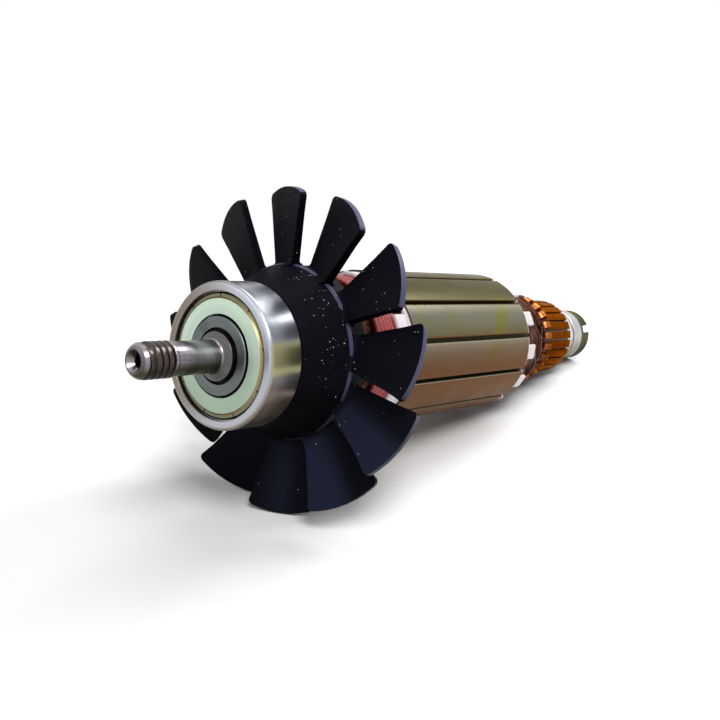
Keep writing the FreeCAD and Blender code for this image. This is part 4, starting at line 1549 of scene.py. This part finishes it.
@dataclass
class BandingCord:
    """Cord wound round the front winding head."""

    start: float = 32.1
    turns: int = 6
    pitch: float = 1.3
    radius: float = 16.2
    cord_radius: float = 0.62
    corners: int = 12
    steps: int = 96

    def build(self, bench: Bench) -> None:
        """Model and finish the cord."""
        angles = [FULL_TURN * k / self.corners for k in range(self.corners)]
        middle = Vector((self.start, 0, self.radius))
        section = [middle + Vector((math.cos(a), 0, math.sin(a))) * self.cord_radius for a in angles]
        piece = screwed(trace("banding_cord_turns", section, closed=True), self.pitch, self.turns, self.steps)
        with editing(piece, "EDGE"):
            choose(lambda e: len(e.link_faces) == 1)
            bpy.ops.mesh.edge_face_add()
            outward_normals()
        bench.hand_over(piece, "cord", ["front_banding_cord"], smooth=50.0)


@dataclass
class Commutator:
    """Copper bars with their wire hooks, the resin that holds them, and the leads.

    Of the two runs of a lead, lead_leans tells the lean in degrees and the lift off the winding head.
    """

    bars: int = 24
    start: float = 115.5
    bar_start: float = 118.5
    bar_end: float = 134.9
    radius: float = 11.0
    depth: float = 3.4
    slit: float = 0.55
    undercut: float = 0.8
    hook_width: float = 1.8
    hook_height: float = 2.1
    hook_reach: float = 3.4
    hook_thickness: float = 1.4
    lead_radius: float = 0.3
    lead_leans: tuple[tuple[float, float], ...] = ((6.5, 0.0), (-8.0, 0.5))
    resin_bore: float = 6.6
    head_end: float = REAR_HEAD_END
    head_radius: float = 11.2

    def bar(self) -> Piece:
        """One bar with eased edges."""
        half = 180.0 / self.bars - math.degrees(self.slit / 2 / self.radius)
        clocks = [-half + half * k / 2 for k in range(5)]
        outline = [at(self.bar_start, self.radius, clock) for clock in clocks]
        outline += [at(self.bar_start, self.radius - self.depth, -clock) for clock in clocks]
        bar = extruded(trace("commutator_bar", outline, closed=True), self.bar_end - self.bar_start)
        return eased(bar, 0.14, 2)

    def hook(self) -> Piece:
        """The hook at a bar's front end, a bent tongue with rounded sides."""
        front = self.bar_start - self.hook_reach / 2
        back = front + self.hook_reach
        top = self.radius + self.hook_height
        sheet = self.hook_thickness
        low = self.radius - sheet * 0.6
        line = rounded([
            (self.bar_start + 0.6, low), (front + sheet / 2, low, 0.5),
            (front + sheet / 2, top - sheet / 2, 1.0), (back - 0.5, top - sheet * 0.8, 0.9),
            (back - 0.1, top - sheet * 2.0),
        ], closed=False, steps=5)
        half = Vector((0, self.hook_width / 2, 0))
        piece = trace("commutator_hook", [p - half for p in line])
        with editing(piece, "EDGE"):
            bpy.ops.mesh.extrude_region_move(TRANSFORM_OT_translate={"value": 2 * half})
        thickened(piece, sheet)
        with editing(piece):
            outward_normals()
        return eased(piece, 0.6, 5)

    def moulding(self) -> Piece:
        """Resin body with its rounded flanges."""
        low = self.radius - self.undercut
        return turned("commutator_body", [
            (self.start, self.resin_bore), (self.start, self.radius - 1.9, 0.6),
            (self.bar_start - 0.4, self.radius - 0.95, 0.2),
            (self.bar_start, low), (self.bar_end, low), (self.bar_end, self.radius - 1.6),
            (self.bar_end + 1.5, self.radius - 2.4, 0.4), (self.bar_end + 1.5, self.resin_bore),
        ])

    def leads(self) -> Piece:
        """Wires from the winding head, each round one hook and back."""
        hooked = self.radius + (self.hook_height - self.hook_thickness) / 2
        turn_x = self.bar_start - self.hook_reach / 2 + self.hook_thickness + self.lead_radius + 0.1
        side = math.degrees((self.hook_width / 2 + self.lead_radius) / hooked)
        runs = []
        start, begin, turned_in = self.start, self.head_end, turn_x - 1.0
        for i, (lean, lift) in enumerate(self.lead_leans):
            base = self.head_radius + lift
            runs.append([
                at(begin - 1.5, base - 1.2, side + lean), at(begin + 1.4, base - 0.2, side + lean * 0.9),
                at(start + 1.2, hooked - 0.2 + i * 0.25, side + lean * 0.35),
                at(turned_in, hooked, side + 0.6), at(turn_x, hooked, side), at(turn_x + 0.15, hooked + i * 0.1, 0),
                at(turn_x, hooked, -side), at(turned_in, hooked, -side - 0.8), at(start, hooked - 0.5, -side - 2.5),
            ])
        return wire("commutator_lead", runs, self.lead_radius)

    def build(self, bench: Bench) -> None:
        """Model and finish the commutator."""
        bars = around(bench.paint(self.bar(), ("bar",)), self.bars)
        hooks = around(bench.paint(self.hook(), ("hook",)), self.bars)
        bars = joined("commutator_bars_with_hooks", bars + hooks)
        bench.hand_over(bars, "bar", ["commutator_bars"])
        bench.hand_over(self.moulding(), "resin", ["commutator_moulding"])
        leads = joined("commutator_lead_wires", around(self.leads(), self.bars))
        bench.hand_over(leads, "lead", ["commutator_leads"], smooth=60.0)
        bench.dress("bush", "commutator_bush")


@dataclass
class RearEnd:
    """Collar behind the commutator and the notched collar on the shaft's end."""

    collar_start: float = COLLAR_START
    collar_end: float = REAR_BEARING_START
    collar_radius: float = 9.4
    neck_radius: float = 7.8
    end_start: float = 149.2
    end: float = 155.2
    end_radius: float = 7.7
    bore: float = 4.0
    land: float = 1.2
    notches: int = 2
    notch_width: float = 2.4
    notch_depth: float = 4.2
    notch_clock: float = 63.9

    def collar(self) -> Piece:
        """Bright turned collar."""
        start, end = self.collar_start, self.collar_end
        length = end - start
        return turned("rear_collar_turned", [
            (start, self.bore), (start, self.collar_radius, 0.5),
            (start + length * 0.2, self.collar_radius, 1.0),
            (start + length * 0.5, self.neck_radius, 1.0),
            (end - 0.5, self.neck_radius, 0.3), (end - 0.5, self.bore + self.land),
            (end, self.bore + self.land), (end, self.bore),
        ])

    def end_collar(self) -> Piece:
        """Collar with two driving notches."""
        start = self.end_start
        piece = turned("end_collar_notched", [
            (start, self.bore), (start, self.bore + self.land),
            (start + 0.5, self.bore + self.land), (start + 0.5, self.end_radius, 0.3),
            (self.end, self.end_radius, 0.6), (self.end, self.bore, 0.3),
        ])
        low = self.bore + self.land / 2
        notch = block((self.notch_depth * 2, self.notch_width, self.end_radius),
                      (self.end, 0, low + self.end_radius / 2))
        subtract(piece, joined("notch_cutter", around(notch, self.notches, self.notch_clock)))
        return piece

    def build(self, bench: Bench) -> None:
        """Model and finish the rear end."""
        bench.hand_over(self.collar(), "collar", ["rear_collar"])
        bench.hand_over(self.end_collar(), "end_collar", ["notched_end_collar"])


def seen(sheet: NodeSheet) -> Socket:
    """1 where the camera, a reflection or a clear piece sees the surface, else 0."""
    rays = sheet.add("LightPath").outputs
    return sheet.most(rays["Is Camera Ray"], sheet.most(rays["Is Glossy Ray"], rays["Is Transmission Ray"]))


@dataclass(frozen=True)
class Lamp:
    """Soft square lamp: its place, its side in metres and its power in watts."""

    name: str
    place: Spot
    size: float
    power: float

    def build(self, aim: Vector) -> None:
        """Hang the lamp and turn it to a point."""
        data = bpy.data.lights.new(self.name, "AREA")
        data.size, data.energy = self.size, self.power
        lamp = bpy.data.objects.new(self.name, data)
        bpy.context.scene.collection.objects.link(lamp)
        lamp.location = self.place
        lamp.rotation_euler = (aim - lamp.location).to_track_quat("-Z", "Y").to_euler()


LAMPS = (
    Lamp("key", (-0.35, -0.45, 0.75), 0.35, 5.2),
    Lamp("fill", (-0.8, 0.5, 0.5), 0.6, 0.8),
    Lamp("top", (0.3, 0.1, 0.9), 0.5, 2.8),
    Lamp("rim", (0.385, -0.065, 0.345), 0.2, 1.2),
)


@dataclass
class Studio:
    """Pale sweep, soft lamps and the camera, whose place is given in the rotor's frame."""

    rotor: RotorFrame
    floor_radius: float = 1.5
    floor_corners: int = 96
    sweep_radius: float = 0.8
    sweep_steps: int = 12
    floor_colour: Colour = (0.94, 0.94, 0.94)
    fade: tuple[float, float] = (0.12, 0.34)
    eye: Spot = (-128.617, -133.251, 37.712)
    sight: Spot = (0.782557, 0.595172, -0.182688)
    upright: Spot = (0.050081, 0.232309, 0.971352)
    focal_pixels: float = 941.22
    frame_pixels: float = 720.0
    sensor: float = 36.0
    ambient: float = 0.28
    aim: Spot = (0.0, 0.0, 0.03)

    def camera(self) -> None:
        """Camera at the photograph's place, worked out from the armature's sizes."""
        data = bpy.data.cameras.new("camera")
        data.sensor_width = self.sensor
        data.lens = self.focal_pixels / self.frame_pixels * self.sensor
        data.clip_start = 0.01
        eye = bpy.data.objects.new("camera", data)
        bpy.context.scene.collection.objects.link(eye)
        turn = self.rotor.matrix.to_quaternion()
        back = turn @ -Vector(self.sight)
        up = turn @ Vector(self.upright)
        right = up.cross(back).normalized()
        up = back.cross(right)
        frame = Matrix((right, up, back)).transposed().to_4x4()
        frame.translation = self.rotor.matrix @ Vector(self.eye)
        eye.matrix_world = frame
        bpy.context.scene.camera = eye

    def floor(self) -> None:
        """Round floor whose rim sweeps up into the backdrop."""
        clear_selection()
        bpy.ops.mesh.primitive_circle_add(vertices=self.floor_corners, radius=self.floor_radius, fill_type="NGON")
        floor = bpy.context.object
        floor.name = floor.data.name = "floor"
        with editing(floor, "EDGE"):
            choose(lambda e: len(e.link_faces) == 1)
            for k in range(self.sweep_steps):
                first, last = (math.pi / 2 * s / self.sweep_steps for s in (k, k + 1))
                rise = self.sweep_radius * (math.cos(first) - math.cos(last))
                before, after = (self.floor_radius + self.sweep_radius * math.sin(a) for a in (first, last))
                bpy.ops.mesh.extrude_edges_move(TRANSFORM_OT_translate={"value": (0, 0, rise)})
                bpy.ops.transform.resize(value=(after / before, after / before, 1))
        pick(floor)
        bpy.ops.object.shade_smooth()
        floor.data.materials.append(self.floor_finish())

    def floor_finish(self) -> bpy.types.Material:
        """Pale floor that fades into white away from the middle."""
        finish = Finish("floor_pale")
        sheet = finish.sheet
        material = finish.shade(Base_Color=rgba(self.floor_colour), Roughness=0.9, Specular_IOR_Level=0.1)
        away = sheet.add("VectorMath", {0: sheet.here()}, operation="LENGTH").outputs["Value"]
        share = sheet.times(sheet.ramp(away, *self.fade, soft=True), seen(sheet))
        white = sheet.add("Emission", {"Color": (1, 1, 1, 1), "Strength": 1.0})
        mixed = sheet.add("MixShader", {0: share, 1: finish.shader.outputs[0], 2: white.outputs[0]})
        sheet.put(material.node_tree.nodes["Material Output"].inputs["Surface"], mixed.outputs[0])
        return material

    def world(self) -> None:
        """Pale surroundings, white where the camera or a reflection sees them."""
        world = bpy.data.worlds.new("surroundings")
        bpy.context.scene.world = world
        world.use_nodes = True
        sheet = NodeSheet(world.node_tree)
        background = world.node_tree.nodes["Background"]
        background.inputs["Color"].default_value = (1, 1, 1, 1)
        sheet.put(background.inputs["Strength"], sheet.ramp(seen(sheet), 0.0, 1.0, self.ambient, 1.0))

    def build(self) -> None:
        """Set the stage."""
        self.camera()
        self.floor()
        self.world()
        for lamp in LAMPS:
            lamp.build(Vector(self.aim))
        bpy.context.scene.view_settings.view_transform = "Standard"


def main() -> None:
    """Load the frame, set the stage, make the finishes and build each sub-assembly in order."""
    logging.basicConfig(level=logging.INFO, format="%(name)s %(message)s", stream=sys.stdout)
    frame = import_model()
    rotor = RotorFrame(frame["joints"])
    Studio(rotor).build()
    effects = Effects(rotor)
    finishes = {label: finish.build(effects) for label, finish in (STEELS | OTHERS).items()}
    bench = Bench(rotor, finishes, frame["nodes"])
    assemblies = (
        Shaft(),
        BallBearing("front_bearing", Body.FRONT_OUTER, start=0.0, width=9.0, bore=5.0, outer=15.0, inner_land=8.0,
                    shield_seat=13.0, corner=0.8, inset=0.35, relief=0.7, crimps=9),
        Fan(),
        Core(),
        WindingHead("front_winding_turns", "front_winding_head", face=41.9, way=-1, length=13.6, top_radius=15.0,
                    crown_radius=14.2),
        WindingHead("rear_winding_turns", "rear_winding_head", face=96.3, way=1, length=14.6, top_radius=15.0,
                    crown_radius=12.4, seed=5),
        BandingCord(),
        Commutator(),
        RearEnd(),
        BallBearing("rear_bearing", Body.REAR_OUTER, start=REAR_BEARING_START, width=5.0, bore=4.0, outer=8.0,
                    inner_land=5.4, shield_seat=7.15, corner=0.3, inset=0.2, relief=0.3, finish="rear_race"),
    )
    for assembly in assemblies:
        assembly.build(bench)
    bpy.context.view_layer.update()


if __name__ == "__main__":
    main()
